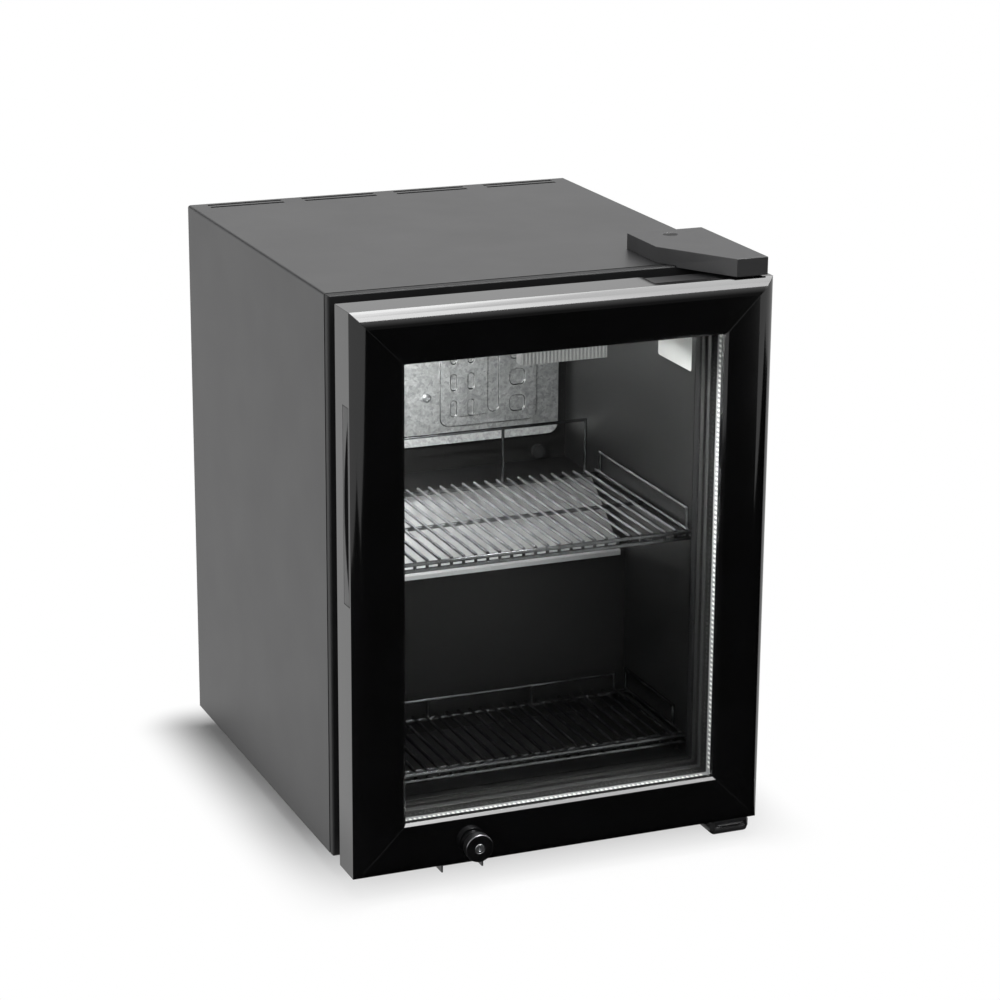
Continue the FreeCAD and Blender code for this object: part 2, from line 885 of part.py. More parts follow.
def make_line_gland():
    """Rubber plug where the cold pipes leave the cabin, low on the back wall."""
    plug = rod("line_plug", "Y", (cabin_side - mm.line_gland_side, ledge_top + mm.line_gland_rise),
               (cabin_back - mm.line_gland_length, cabin_back), mm.line_gland_radius)
    return sub_part(plug, "line_gland")


def make_lamp():
    """Lamp under the roof, just behind the door: base, board and a clear cover."""
    left = mm.lamp_offset - mm.lamp_width / 2
    right = mm.lamp_offset + mm.lamp_width / 2
    front = frame_front + mm.lamp_setback
    back = front + mm.lamp_depth
    wall = mm.lamp_wall
    bottom = cabin_roof - mm.lamp_drop
    base_bottom = cabin_roof - mm.lamp_base_drop
    base = block("lamp_plate", (left + wall, right - wall), (front + wall, back - wall),
                 (base_bottom, cabin_roof))
    sub_part(base, "lamp_base")
    middle = (front + back) / 2
    board = block("board", (left + wall * 3, right - wall * 3),
                  (middle - mm.lamp_board_wall / 2, middle + mm.lamp_board_wall / 2),
                  (base_bottom - mm.lamp_board_drop, base_bottom))
    sub_part(board, "lamp_board")
    outside = block("lamp_outside", (left, right), (front, back), (bottom, cabin_roof))
    inside = block("lamp_inside", (left + wall, right - wall), (front + wall, back - wall),
                   (bottom + wall, cabin_roof + mm.overrun))
    sub_part(cut("lamp_shade", outside, inside), "lamp_cover")


# Machine space behind the step

def stadium(middle_x, middle_y, length, depth):
    """A straight-sided oval seen from above."""
    end = depth / 2
    run = (length - depth) / 2
    return [
        (middle_x - run, middle_y - end),
        (middle_x + run, middle_y - end, "left", end),
        (middle_x + run + end, middle_y, "left", end),
        (middle_x + run, middle_y + end),
        (middle_x - run, middle_y + end, "left", end),
        (middle_x - run - end, middle_y, "left", end),
    ]


pot_x = -mm.pot_offset
pot_y = cabinet_back - mm.pot_back_gap - mm.pot_depth / 2
bed_bottom = base_top + mm.grommet_height
pot_bottom = bed_bottom + mm.pot_bed


def make_compressor():
    """Two drawn steel pots welded at a seam, the upper one domed."""
    body = new_body("pot")
    seam_bottom = pot_bottom + mm.pot_lower
    seam_top = seam_bottom + mm.pot_seam_height
    shoulder = seam_top + mm.pot_upper
    pad(body, "XY", (pot_bottom, seam_bottom), stadium(pot_x, pot_y, mm.pot_length, mm.pot_depth))
    pad(body, "XY", (seam_bottom, seam_top), stadium(
        pot_x, pot_y, mm.pot_length + mm.pot_seam, mm.pot_depth + mm.pot_seam))
    upper = pad(body, "XY", (seam_top, shoulder + mm.pot_dome), stadium(
        pot_x, pot_y, mm.pot_length - mm.pot_seam, mm.pot_depth - mm.pot_seam))

    def at_crown(edge):
        return close(edge.BoundBox.ZMin, shoulder + mm.pot_dome)

    eased(body, upper, "Chamfer", "Size", mm.pot_dome, at_crown)
    return sub_part(body, "compressor")


def make_compressor_bed():
    half_length = mm.pot_length / 2 + mm.pot_bed_margin
    half_depth = mm.pot_depth / 2 + mm.pot_bed_margin
    bed = block("bed", (pot_x - half_length, pot_x + half_length),
                (pot_y - half_depth, pot_y + half_depth), (bed_bottom, pot_bottom))
    sub_part(bed, "compressor_bed")
    rubbers = []
    reach_x = half_length - mm.grommet_inset
    reach_y = half_depth - mm.grommet_inset
    for across in (pot_x - reach_x, pot_x + reach_x):
        for along in (pot_y - reach_y, pot_y + reach_y):
            rubbers.append(rod(f"rubber_{len(rubbers)}", "Z", (across, along),
                               (base_top, bed_bottom), mm.grommet_radius))
    sub_part(group("rubbers", *rubbers), "compressor_grommets")


def make_relay():
    side = pot_x + mm.pot_length / 2
    low = pot_bottom + mm.pot_bed_margin
    relay = block("relay", (side, side + mm.relay_width),
                  (pot_y - mm.relay_depth / 2, pot_y + mm.relay_depth / 2),
                  (low, low + mm.relay_height))
    return sub_part(relay, "start_relay")


coil_y = cabinet_back - mm.sheet_wall - mm.coil_clearance
coil_bottom = machine_roof + mm.coil_low_gap
coil_top = cabinet_top - mm.coil_high_gap


def swept_tube(name, edges, radius):
    """A round tube along a path of straight runs and arcs that follow on smoothly."""
    path = Part.Wire(edges)
    start = path.Edges[0].valueAt(path.Edges[0].FirstParameter)
    heading = path.Edges[0].tangentAt(path.Edges[0].FirstParameter)
    section = Part.Wire(Part.Circle(start, heading, radius).toShape())
    feature = document.addObject("Part::Feature", name)
    feature.Shape = path.makePipeShell([section], True, False)
    return feature


def make_condenser():
    """Serpentine tube behind the foam, with fine wires welded across it."""
    half_run = (half_width - mm.coil_side_gap).value
    bend = ((coil_top - coil_bottom) / (2 * (COIL_PASSES - 1))).value
    depth = coil_y.value
    low = coil_bottom.value
    edges = []
    for number in range(COIL_PASSES):
        level = low + 2 * bend * number
        sign = 1 if number % 2 == 0 else -1
        start = FreeCAD.Vector(-sign * half_run, depth, level)
        end = FreeCAD.Vector(sign * half_run, depth, level)
        edges.append(Part.LineSegment(start, end).toShape())
        if number < COIL_PASSES - 1:
            middle = FreeCAD.Vector(sign * (half_run + bend), depth, level + bend)
            above = FreeCAD.Vector(sign * half_run, depth, level + 2 * bend)
            edges.append(Part.Arc(end, middle, above).toShape())
    sub_part(swept_tube("coil", edges, mm.coil_tube.value), "condenser_coil")
    wires = []
    wire_y = coil_y - mm.coil_tube - mm.coil_wire
    pitch = (half_width - mm.coil_side_gap) / (COIL_WIRES_EACH_SIDE + 1)
    for number in range(-COIL_WIRES_EACH_SIDE, COIL_WIRES_EACH_SIDE + 1):
        wires.append(rod(f"coil_wire_{number + COIL_WIRES_EACH_SIDE}", "Z",
                         (pitch * number, wire_y),
                         (coil_bottom - mm.coil_wire_over, coil_top + mm.coil_wire_over),
                         mm.coil_wire))
    sub_part(group("coil_wires", *wires), "condenser_wires")
    clips = []
    clip_back = wire_y - mm.coil_wire
    across = pitch * COIL_WIRES_EACH_SIDE
    for side in (-across, across):
        for level in (coil_bottom, coil_top):
            clips.append(block(f"clip_{len(clips)}",
                               (side - mm.coil_clip / 2, side + mm.coil_clip / 2),
                               (foam_back, clip_back),
                               (level - mm.coil_clip / 2, level + mm.coil_clip / 2)))
    sub_part(group("clips", *clips), "condenser_clips")


def make_thermostat():
    """Switch behind the rear panel and the knob that turns its shaft."""
    centre = switch_centre
    half = mm.thermostat_width / 2
    rise = mm.thermostat_height / 2
    inside = cabinet_back - mm.sheet_wall
    case = block("switch", (centre[0] - half, centre[0] + half),
                 (inside - mm.thermostat_depth, inside), (centre[1] - rise, centre[1] + rise))
    bore = rod("switch_bore", "Y", centre,
               (inside - mm.knob_shaft_length - mm.knob_gap, inside + mm.overrun),
               mm.knob_shaft + mm.pin_clearance)
    sub_part(cut("switch_case", case, bore), "thermostat_body")
    disc_back = cabinet_back + mm.knob_gap
    disc_front = cabinet_back + mm.knob_proud
    disc = rod("knob_disc", "Y", centre, (disc_back, disc_front), mm.knob_radius)
    shaft = rod("knob_stem", "Y", centre, (inside - mm.knob_shaft_length, disc_back), mm.knob_shaft)
    grooves = []
    past = (disc_front - mm.knob_grip_depth, disc_front + mm.overrun)
    for name, side in (("left", -1), ("right", 1)):
        inner = centre[0] + mm.knob_grip * side
        outer = centre[0] + mm.knob_radius * side * 2
        low, high = (outer, inner) if side < 0 else (inner, outer)
        grooves.append(block(f"knob_{name}", (low, high), past,
                             (centre[1] - mm.knob_radius, centre[1] + mm.knob_radius)))
    sub_part(cut("knob", joined("knob_solid", disc, shaft), *grooves), "thermostat_knob")


def make_mains_gland():
    centre = gland_centre
    flange = rod("gland_flange", "Y", centre, (cabinet_back, cabinet_back + mm.gland_proud),
                 mm.gland_radius)
    neck = rod("gland_neck", "Y", centre,
               (cabinet_back - mm.sheet_wall * 3, cabinet_back), mm.gland_bore * 2)
    bore = rod("gland_hollow", "Y", centre,
               (cabinet_back - mm.overrun, cabinet_back + mm.gland_proud + mm.overrun),
               mm.gland_bore)
    return sub_part(cut("gland", joined("gland_solid", flange, neck), bore), "mains_gland")


# Shelves: wires laid across each other and welded where they touch

def bent_wire(name, points, radius):
    """A wire along a path of straight runs, mitred where it turns."""
    path = Part.makePolygon([FreeCAD.Vector(*point) for point in points])
    start = path.Edges[0].valueAt(path.Edges[0].FirstParameter)
    heading = path.Edges[0].tangentAt(path.Edges[0].FirstParameter)
    section = Part.Wire(Part.Circle(start, heading, radius).toShape())
    feature = document.addObject("Part::Feature", name)
    feature.Shape = path.makePipeShell([section], True, False, 1)
    return feature


def make_shelf(name, seat, front, back, brace, guard_front, guard_back, back_guard):
    """A wire shelf: long wires bent down at the front, cross wires and guards."""
    thin = mm.long_wire
    thick = mm.cross_wire
    level = seat + thick
    long_level = level + thick + thin
    pitch = (cabin_side - mm.shelf_rim_gap) / SHELF_WIRES_EACH_SIDE
    half = cabin_side - mm.shelf_side_gap
    post_line = front + thick * 2 + thin
    low_end = long_level - mm.shelf_drop
    wires = []
    for number in range(-SHELF_WIRES_EACH_SIDE, SHELF_WIRES_EACH_SIDE + 1):
        across = (pitch * number).value
        wires.append(bent_wire(f"{name}_long_{number + SHELF_WIRES_EACH_SIDE}", [
            (across, post_line.value, low_end.value),
            (across, post_line.value, long_level.value),
            (across, back.value, long_level.value),
        ], thin.value))
    bar_line = front + thick
    for label, along, height in (
            ("top_bar", bar_line, long_level - thin),
            ("low_bar", bar_line, low_end + thick),
            ("brace_bar", brace, level),
            ("back_bar", back - thick, level)):
        wires.append(rod(f"{name}_{label}", "X", (along, height), (-half, half), thick))
    sub_part(group(f"{name}_grid_wires", *wires), f"{name}_grid")
    guards = []
    rim = (pitch * SHELF_WIRES_EACH_SIDE).value
    stand = (long_level + thin).value
    rail_level = (long_level + mm.side_guard).value
    near = (post_line + guard_front).value
    far = (back - guard_back).value
    for side, across in (("left", -rim), ("right", rim)):
        guards.append(bent_wire(f"{name}_guard_{side}", [
            (across, near, stand), (across, near, rail_level),
            (across, far, rail_level), (across, far, stand),
        ], thin.value))
    guard_side = (cabin_side - mm.back_guard_side).value
    guard_line = (back + thin).value
    foot = seat.value
    head = (long_level + back_guard).value
    guards.append(bent_wire(f"{name}_guard_back", [
        (-guard_side, guard_line, foot), (-guard_side, guard_line, head),
        (guard_side, guard_line, head), (guard_side, guard_line, foot),
    ], thin.value))
    for side, across in (("left", -mm.guard_post_place), ("right", mm.guard_post_place)):
        guards.append(rod(f"{name}_post_{side}", "Z", (across, back + thin),
                          (seat, long_level + back_guard - thin), thin))
    sub_part(group(f"{name}_guard_wires", *guards), f"{name}_guard")


def make_shelves():
    front = frame_front + mm.shelf_front_gap
    upper_back = ledge_front - mm.upper_shelf_back_gap
    lower_back = step_front - mm.lower_shelf_back_gap
    make_shelf("upper_shelf", upper_rib_top + mm.seat_gap, front, upper_back,
               (front + upper_back) / 2, mm.upper_guard_front, mm.upper_guard_back,
               mm.upper_back_guard)
    make_shelf("lower_shelf", lower_rib_top + mm.seat_gap, front, lower_back,
               front + mm.brace_place, mm.lower_guard_front, mm.lower_guard_back,
               mm.lower_back_guard)


# Door: four mitred rails round a double pane

def rail_section(edge, inward, swap):
    """A rail's section: edge is its outer edge and inward the way to the glass, 1 or -1.

    The outer side face meets a round crown, then a flat face, a bevel and the lip that
    holds the pane. swap turns the pairs round for a plane whose first axis is Y.
    """
    def place(across, along):
        spot = edge + across * inward
        return (along, spot) if swap else (spot, along)

    inner = mm.rail_width
    rebate = mm.rail_width - mm.glass_bite
    radius = (mm.crown_run * mm.crown_run + mm.rail_crown * mm.rail_crown) / (mm.rail_crown * 2)
    side = "left" if (inward > 0) != swap else "right"
    outline = [
        place(as_size(0), door_back),
        place(as_size(0), door_front) + (side, radius),
        place(mm.crown_run, crown_front),
        place(inner - mm.rail_bevel, crown_front),
        place(inner, crown_front + mm.rail_bevel),
        place(inner, pane_front),
        place(rebate, pane_front),
        place(rebate, door_back),
    ]
    skin = mm.rail_skin
    chamber = [
        place(skin, door_front + mm.chamber_start),
        place(rebate - skin, door_front + mm.chamber_start),
        place(rebate - skin, door_back - skin),
        place(skin, door_back - skin),
    ]
    return outline, chamber


def mitre_cut(body, corner_x, corner_z, toward_x, toward_z, upright):
    """Takes a rail's end off at 45 degrees from its outer corner."""
    past = mm.rail_width + mm.overrun
    before = mm.overrun
    start = (corner_x - before * toward_x, corner_z - before * toward_z)
    inner = (corner_x + past * toward_x, corner_z + past * toward_z)
    if upright:
        third = (corner_x + past * toward_x, corner_z - before * toward_z)
    else:
        third = (corner_x - before * toward_x, corner_z + past * toward_z)
    pocket(body, "XZ", (crown_front - mm.overrun, door_back + mm.overrun), [start, inner, third])


def make_rail(label):
    """One rail of the door: a hollow section between two mitres."""
    body = new_body(f"{label}_body")
    upright = label in ("rail_left", "rail_right")
    if upright:
        sign = -1 if label == "rail_left" else 1
        sections = rail_section(door_side * sign, -sign, False)
        pad(body, "XY", (door_bottom, door_top), *sections)
        for height, way in ((door_bottom, 1), (door_top, -1)):
            mitre_cut(body, door_side * sign, height, -sign, way, True)
    else:
        edge, way = (door_bottom, 1) if label == "rail_bottom" else (door_top, -1)
        sections = rail_section(edge, way, True)
        pad(body, "YZ", (-door_side, door_side), *sections)
        for sign in (-1, 1):
            mitre_cut(body, door_side * sign, edge, -sign, way, False)
    return body


def lens_outline(front, middle, length, width):
    """A long slot with a straight front edge and a bowed back edge."""
    half = length / 2
    radius = (half * half + width * width) / (width * 2)
    return [
        (front, middle + half),
        (front, middle - half, "left", radius),
    ]


grip_z = door_bottom + mm.grip_middle
grip_low = grip_z - mm.grip_length / 2
grip_high = grip_z + mm.grip_length / 2
grip_front = door_front + mm.grip_front
cap_left = door_side - mm.cap_side - mm.cap_length
cap_right = door_side - mm.cap_side
cap_bottom = door_top - mm.cap_depth


def make_rails():
    left = make_rail("rail_left")
    gap = mm.key_gap / 2
    pocket(left, "YZ", (-door_side - mm.overrun, mm.grip_depth - door_side), box_outline(
        grip_front - gap, grip_front + mm.grip_width + gap, grip_low - gap, grip_high + gap))
    sub_part(left, "rail_left")
    lock_hole = mm.lock_body + mm.lock_hole_gap
    bottom = cut("rail_bottom_holed", make_rail("rail_bottom"),
                 rod("lock_hole", "Y", (-mm.lock_offset, lock_z),
                     (crown_front - mm.overrun, door_back + mm.overrun), lock_hole),
                 rod("pin_hole_low", "Z", (pin_x, pin_y),
                     (door_bottom - mm.overrun, door_bottom + mm.rail_skin + mm.overrun),
                     mm.pin_radius + mm.hinge_play))
    sub_part(bottom, "rail_bottom")
    for label in ("rail_right", "rail_top"):
        recess = block(f"{label}_recess", (cap_left, cap_right),
                       (door_front + mm.cap_front, door_back + mm.overrun),
                       (cap_bottom, door_top + mm.overrun))
        rail = make_rail(label)
        if label == "rail_right":
            low_hole = rod("pin_hole_side", "Z", (pin_x, pin_y),
                           (door_bottom - mm.overrun, door_bottom + mm.rail_width),
                           mm.pin_radius + mm.hinge_play)
            sub_part(cut(f"{label}_holed", rail, recess, low_hole), label)
        else:
            sub_part(cut(f"{label}_holed", rail, recess), label)


chamber_outer = mm.rail_skin + mm.key_gap
chamber_inner = mm.rail_width - mm.glass_bite - mm.rail_skin - mm.key_gap
chamber_front = door_front + mm.chamber_start + mm.key_gap
chamber_back = door_back - mm.rail_skin - mm.key_gap


def corner_key(name, height, way):
    """An L that fills the chambers of two rails at a left corner."""
    side = -door_side
    body = new_body(name)
    outer_x = side + chamber_outer
    inner_x = side + chamber_inner
    leg_x = side + mm.key_leg
    outer_z = height + chamber_outer * way
    inner_z = height + chamber_inner * way
    leg_z = height + mm.key_leg * way
    pad(body, "XZ", (chamber_front, chamber_back), [
        (outer_x, outer_z), (leg_x, outer_z), (leg_x, inner_z),
        (inner_x, inner_z), (inner_x, leg_z), (outer_x, leg_z),
    ])
    return body


def make_corner_blocks():
    """Keys in the left corners and bored blocks that the hinge pins turn in."""
    keys = [corner_key("key_low", door_bottom, 1), corner_key("key_high", door_top, -1)]
    sub_part(group("keys", *keys), "corner_keys")
    bore = mm.pin_radius + mm.pin_clearance
    low = door_bottom + chamber_outer
    filling = block("pivot_filling", (door_side - chamber_inner, door_side - chamber_outer),
                    (chamber_front, chamber_back), (low, low + mm.pivot_block_height))
    low_bore = rod("pivot_bore_low", "Z", (pin_x, pin_y),
                   (low - mm.overrun, low + mm.pivot_block_height + mm.overrun), bore)
    sub_part(cut("pivot_low", filling, low_bore), "bottom_pivot_block")
    gap = mm.key_gap / 2
    cap = block("cap", (cap_left + gap, cap_right - gap),
                (door_front + mm.cap_front + gap, door_back),
                (cap_bottom + gap, door_top - mm.cap_sink))
    cap_bore = rod("pivot_bore_high", "Z", (pin_x, pin_y),
                   (cap_bottom - mm.overrun, door_top + mm.overrun), bore)
    sub_part(cut("cap_bored", cap, cap_bore), "top_hinge_cap")


def make_glazing():
    """Two panes with a spacer between them, held by a bead from behind."""
    spread = (pane_side, pane_bottom, pane_top)
    for label, front in (("glass_outer", pane_front), ("glass_inner", spacer_back)):
        pane = block(label, (-pane_side, pane_side), (front, front + mm.pane), spread[1:])
        sub_part(pane, label)
    rim = mm.spacer_margin
    hollow = mm.spacer_margin + mm.spacer_width
    sub_part(ring("spacer",
                  (pane_side - rim, pane_bottom + rim, pane_top - rim),
                  (pane_side - hollow, pane_bottom + hollow, pane_top - hollow),
                  (spacer_front, spacer_back)), "glass_spacer")
    body = new_body("bead")
    gap = mm.key_gap / 2
    bite = mm.glass_bite
    bead = pad(body, "XZ", (bead_front, door_back),
               box_outline(gap - pane_side, pane_side - gap, pane_bottom + gap, pane_top - gap),
               box_outline(bite - pane_side, pane_side - bite, pane_bottom + bite, pane_top - bite))

    def at_inner_back(edge):
        box = edge.BoundBox
        flat = close(box.YMin, door_back) and close(box.YMax, door_back)
        inside = max(abs(box.XMin), abs(box.XMax)) < (pane_side - bite / 2).value
        return flat and inside

    eased(body, bead, "Chamfer", "Size", mm.bead_chamfer, at_inner_back)
    return sub_part(body, "glazing_bead")


def make_seal():
    """Magnetic seal: a base on the door, a narrow bellows and a head at the frame."""
    inner = mm.seal_margin
    outer = mm.seal_margin + mm.seal_width
    neck = mm.seal_neck_inset
    base_back = door_back + mm.seal_base
    head_front = frame_front - mm.seal_touch - mm.seal_head
    rings = []
    for name, start, end, trim in (
            ("seal_base", door_back, base_back, 0),
            ("seal_neck", base_back, head_front, neck),
            ("seal_head", head_front, frame_front - mm.seal_touch, 0)):
        rings.append(ring(
            f"{name}_ring",
            (cabin_side + outer - trim, cabin_floor - outer + trim, cabin_roof + outer - trim),
            (cabin_side + inner + trim, cabin_floor - inner - trim, cabin_roof + inner + trim),
            (start, end)))
    return sub_part(joined("seal", *rings), "door_gasket")


def make_grip():
    """Moulded finger pull let into the door's left side."""
    body = new_body("grip")
    pad(body, "YZ", (-door_side, mm.grip_depth - door_side), box_outline(
        grip_front, grip_front + mm.grip_width, grip_low, grip_high))
    pocket(body, "YZ", (-door_side, mm.grip_depth - mm.grip_floor - door_side), lens_outline(
        grip_front + mm.grip_slot_front, grip_z, mm.grip_slot_length, mm.grip_slot_width))
    return sub_part(body, "grip_insert")


# Hinges

cover_left = half_width - mm.cover_side - mm.cover_width
cover_right = half_width - mm.cover_side


def cover_outline(inset):
    """The hinge cover from above: it narrows from the cabinet's top to a nose."""
    front = door_front - mm.cover_front
    return [
        (cover_left + inset, door_front + mm.cover_back - inset),
        (cover_left + inset, door_front + mm.cover_bend + inset),
        (cover_right - mm.cover_nose + inset, front + inset),
        (cover_right - inset, front + inset),
        (cover_right - inset, door_front + mm.cover_back - inset),
    ]


def make_top_hinge():
    sheet_top = cabinet_top + mm.hinge_sheet
    body = new_body("hinge_sheet_top")
    pad(body, "XY", (cabinet_top, sheet_top), cover_outline(mm.cover_wall + mm.cover_seam))
    pin = rod("pin_high", "Z", (pin_x, pin_y), (door_top - mm.pin_reach, sheet_top), mm.pin_radius)
    sub_part(joined("hinge_top", body, pin), "top_hinge_bracket")
    heads = []
    middle = cover_left + mm.cover_width / 2
    back = door_front + mm.cover_back
    quarter = mm.cover_width / 4
    for across, along in ((middle - quarter, back - mm.dimple_back),
                          (middle + quarter, back - mm.dimple_back),
                          (middle + quarter, back - mm.dimple_back * 3)):
        heads.append(rod(f"hinge_screw_{len(heads)}", "Z", (across, along),
                         (sheet_top, sheet_top + mm.hinge_screw_head), mm.hinge_screw_radius))
    sub_part(group("hinge_screw_set", *heads), "hinge_screws")


def make_hinge_cover():
    """Moulded cap over the top hinge, with a skirt that drops in front of the cabinet."""
    top = cabinet_top + mm.cover_height
    bottom = cabinet_top - mm.cover_drop
    body = new_body("cover")
    pad(body, "XY", (bottom, top), cover_outline(as_size(0)))
    pocket(body, "XY", (bottom - mm.overrun, top - mm.cover_wall), cover_outline(mm.cover_wall))
    seat = block("cover_seat", (cover_left - mm.overrun, cover_right + mm.overrun),
                 (frame_front - mm.cover_seam, door_front + mm.cover_back + mm.overrun),
                 (bottom - mm.overrun, cabinet_top))
    dimple = rod("dimple", "Z", (cover_left + mm.dimple_side,
                                 door_front + mm.cover_back - mm.dimple_back),
                 (top - mm.dimple_depth, top + mm.overrun), mm.dimple_radius)
    return sub_part(cut("cover_cut", body, seat, dimple), "hinge_cover")


def make_bottom_hinge():
    """Steel foot of the door: a plate under the cabinet and a pin up into the rail."""
    half = mm.low_plate_width / 2
    plate_top = door_bottom - mm.hinge_play
    plate_bottom = plate_top - mm.hinge_sheet
    middle = half_width - mm.shoe_side - mm.shoe_width / 2
    front = door_front + mm.low_plate_front
    back = door_front + mm.low_plate_back
    plate = block("hinge_plate_low", (middle - half, middle + half), (front, back),
                  (plate_bottom, plate_top))
    riser = block("hinge_riser", (middle - half, middle + half), (shell_front, back),
                  (plate_top, cabinet_bottom))
    pin = rod("pin_low", "Z", (pin_x, pin_y),
              (plate_bottom, door_bottom + chamber_outer + mm.pin_reach), mm.pin_radius)
    return sub_part(joined("hinge_low", plate, riser, pin), "bottom_hinge_bracket")


def make_shoe():
    """Moulded shoe round the front of the bottom hinge plate."""
    left = half_width - mm.shoe_side - mm.shoe_width
    right = half_width - mm.shoe_side
    front = door_front + mm.shoe_front
    back = door_front + mm.shoe_back
    low = mm.shoe_clear
    high = door_bottom - mm.hinge_play
    body = new_body("shoe")
    whole = pad(body, "XY", (low, high), box_outline(left, right, front, back))

    def at_front_corner(edge):
        return along_edge(edge, "z") and close(edge.BoundBox.YMin, front)

    eased(body, whole, "Fillet", "Radius", mm.shoe_wall * 2, at_front_corner)
    half = mm.low_plate_width / 2
    middle = (left + right) / 2
    gap = mm.seat_gap
    room = block("shoe_room", (middle - half - gap, middle + half + gap),
                 (door_front + mm.low_plate_front - gap, back + mm.overrun),
                 (door_bottom - mm.hinge_play - mm.hinge_sheet - gap, high + mm.overrun))
    waist = (low + high) / 2
    band = ring_round("shoe_band", left, right, front, back, waist)
    return sub_part(cut("shoe_cut", body, room, band), "hinge_shoe")


def ring_round(name, left, right, front, back, level):
    """A shallow groove round the front and sides of the shoe."""
    deep = mm.shoe_groove
    outside = block(f"{name}_out", (left - mm.overrun, right + mm.overrun),
                    (front - mm.overrun, back + mm.overrun),
                    (level - deep / 2, level + deep / 2))
    inside = block(f"{name}_in", (left + deep, right - deep),
                   (front + deep, back + mm.overrun * 2), (level - deep, level + deep))
    return cut(name, outside, inside)


# Lock

def make_lock():
    """Lock barrel in the bottom rail, its nut, and the plug that turns the cam."""
    centre = (-mm.lock_offset, lock_z)
    face = crown_front - mm.lock_proud
    rim_back = face + mm.lock_rim
    nut_back = door_back + mm.lock_nut
    rim = rod("lock_rim_disc", "Y", centre, (face, rim_back), mm.lock_radius)
    collar = rod("lock_collar_disc", "Y", centre, (rim_back, crown_front), mm.lock_collar)
    body = rod("lock_shank", "Y", centre, (crown_front, nut_back), mm.lock_body)
    hollow = rod("lock_hollow", "Y", centre, (face - mm.overrun, nut_back + mm.overrun),
                 mm.plug_radius + mm.plug_clearance)
    sub_part(cut("lock_bored", joined("lock_solid", rim, collar, body), hollow), "lock_barrel")
    nut = rod("nut_disc", "Y", centre, (door_back, nut_back), mm.lock_nut_radius)
    nut_hole = rod("nut_hole", "Y", centre, (door_back - mm.overrun, nut_back + mm.overrun),
                   mm.lock_body)
    sub_part(cut("nut_bored", nut, nut_hole), "lock_nut")
    cam_front = nut_back + mm.cam_gap
    cam_back = cam_front + mm.cam_wall
    plug = rod("plug_rod", "Y", centre, (face, cam_front), mm.plug_radius)
    key_slot = block("key_slot_cut",
                     (centre[0] - mm.key_slot / 2, centre[0] + mm.key_slot / 2),
                     (face - mm.overrun, face + mm.key_slot_depth),
                     (centre[1] - mm.key_slot_height / 2, centre[1] + mm.key_slot_height / 2))
    sub_part(cut("plug", plug, key_slot), "lock_plug")
    cam = new_body("cam")
    run = mm.cam_length
    hub = mm.cam_hub
    pad(cam, "XZ", (cam_front, cam_back), [
        (centre[0] + run, centre[1] - hub),
        (centre[0] + run, centre[1] + hub),
        (centre[0], centre[1] + hub, "left", hub),
        (centre[0] - hub, centre[1], "left", hub),
        (centre[0], centre[1] - hub),
    ])
    sub_part(cam, "lock_cam")


def make_strike():
    """Folded strike under the cabinet: two ears and the lip that the cam drops behind."""
    left = -mm.lock_offset - mm.strike_width / 2
    right = -mm.lock_offset + mm.strike_width / 2
    wall = mm.strike_wall
    front = door_front + mm.strike_front
    back = door_front + mm.strike_reach
    low = mm.strike_clear
    web_bottom = cabinet_bottom - mm.strike_web
    ears = [block("ear_left", (left, left + wall), (front, back), (low, web_bottom)),
            block("ear_right", (right - wall, right), (front, back), (low, web_bottom))]
    web = block("strike_web_plate", (left, right), (frame_front, back),
                (web_bottom, cabinet_bottom))
    lip_front = door_front + mm.strike_lip
    lip = block("strike_lip_plate", (left + wall, right - wall), (lip_front, lip_front + wall),
                (low, web_bottom - mm.strike_lip_gap))
    sub_part(joined("strike", web, lip, *ears), "lock_strike")
    heads = []
    along = (frame_front + back) / 2
    for across in (-mm.lock_offset - mm.strike_width / 4, -mm.lock_offset + mm.strike_width / 4):
        heads.append(rod(f"strike_screw_{len(heads)}", "Z", (across, along),
                         (web_bottom - mm.strike_screw_head, web_bottom), mm.strike_screw_radius))
    sub_part(group("strike_screw_set", *heads), "strike_screws")


def check_all():
    """Stops at any feature that failed and any piece that is empty or not valid."""
    for item in document.Objects:
        if "Invalid" in item.State or "Error" in item.State:
            raise RuntimeError(f"{item.Label} did not compute")
    for piece in SUB_PARTS:
        if piece.Shape.isNull() or not piece.Shape.isValid() or not piece.Shape.Solids:
            raise RuntimeError(f"{piece.Label} has no valid solid")


def main():
    make_shell()
    make_foam()
    make_liner()
    make_front_frame()
    make_base()
    make_rear_panel()
    make_feet()
    make_evaporator()
    make_evaporator_screws()
    make_drip_plate()
    make_line_gland()
    make_lamp()
    make_compressor()
    make_compressor_bed()
    make_relay()
    make_condenser()
    make_thermostat()
    make_mains_gland()
    make_shelves()
    make_rails()
    make_corner_blocks()
    make_glazing()
    make_seal()
    make_grip()
    make_top_hinge()
    make_hinge_cover()
    make_bottom_hinge()
    make_shoe()
    make_lock()
    make_strike()
    document.recompute()
    check_all()
    os.makedirs("parts", exist_ok=True)
    for piece in SUB_PARTS:
        piece.Shape.exportStep(f"parts/{piece.Label}.step")
        print(f"{piece.Label}: {len(piece.Shape.Solids)} solids, {piece.Shape.Volume:.0f} mm3")


main()
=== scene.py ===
# %% [markdown]
# # A countertop display fridge, from its solids to its looks
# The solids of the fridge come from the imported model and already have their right
# places and sizes. This lesson gives them the look of the real thing: pre-painted
# steel, gloss black aluminium, clear double glazing, chromed wire and bare aluminium.
# Small pieces that need rounded edges or more detail than the solids have are
# modelled over them, and each one moves with the body that it sits on.

# %% Load the solids
import json
import math
import bpy
from mathutils import Matrix, Vector

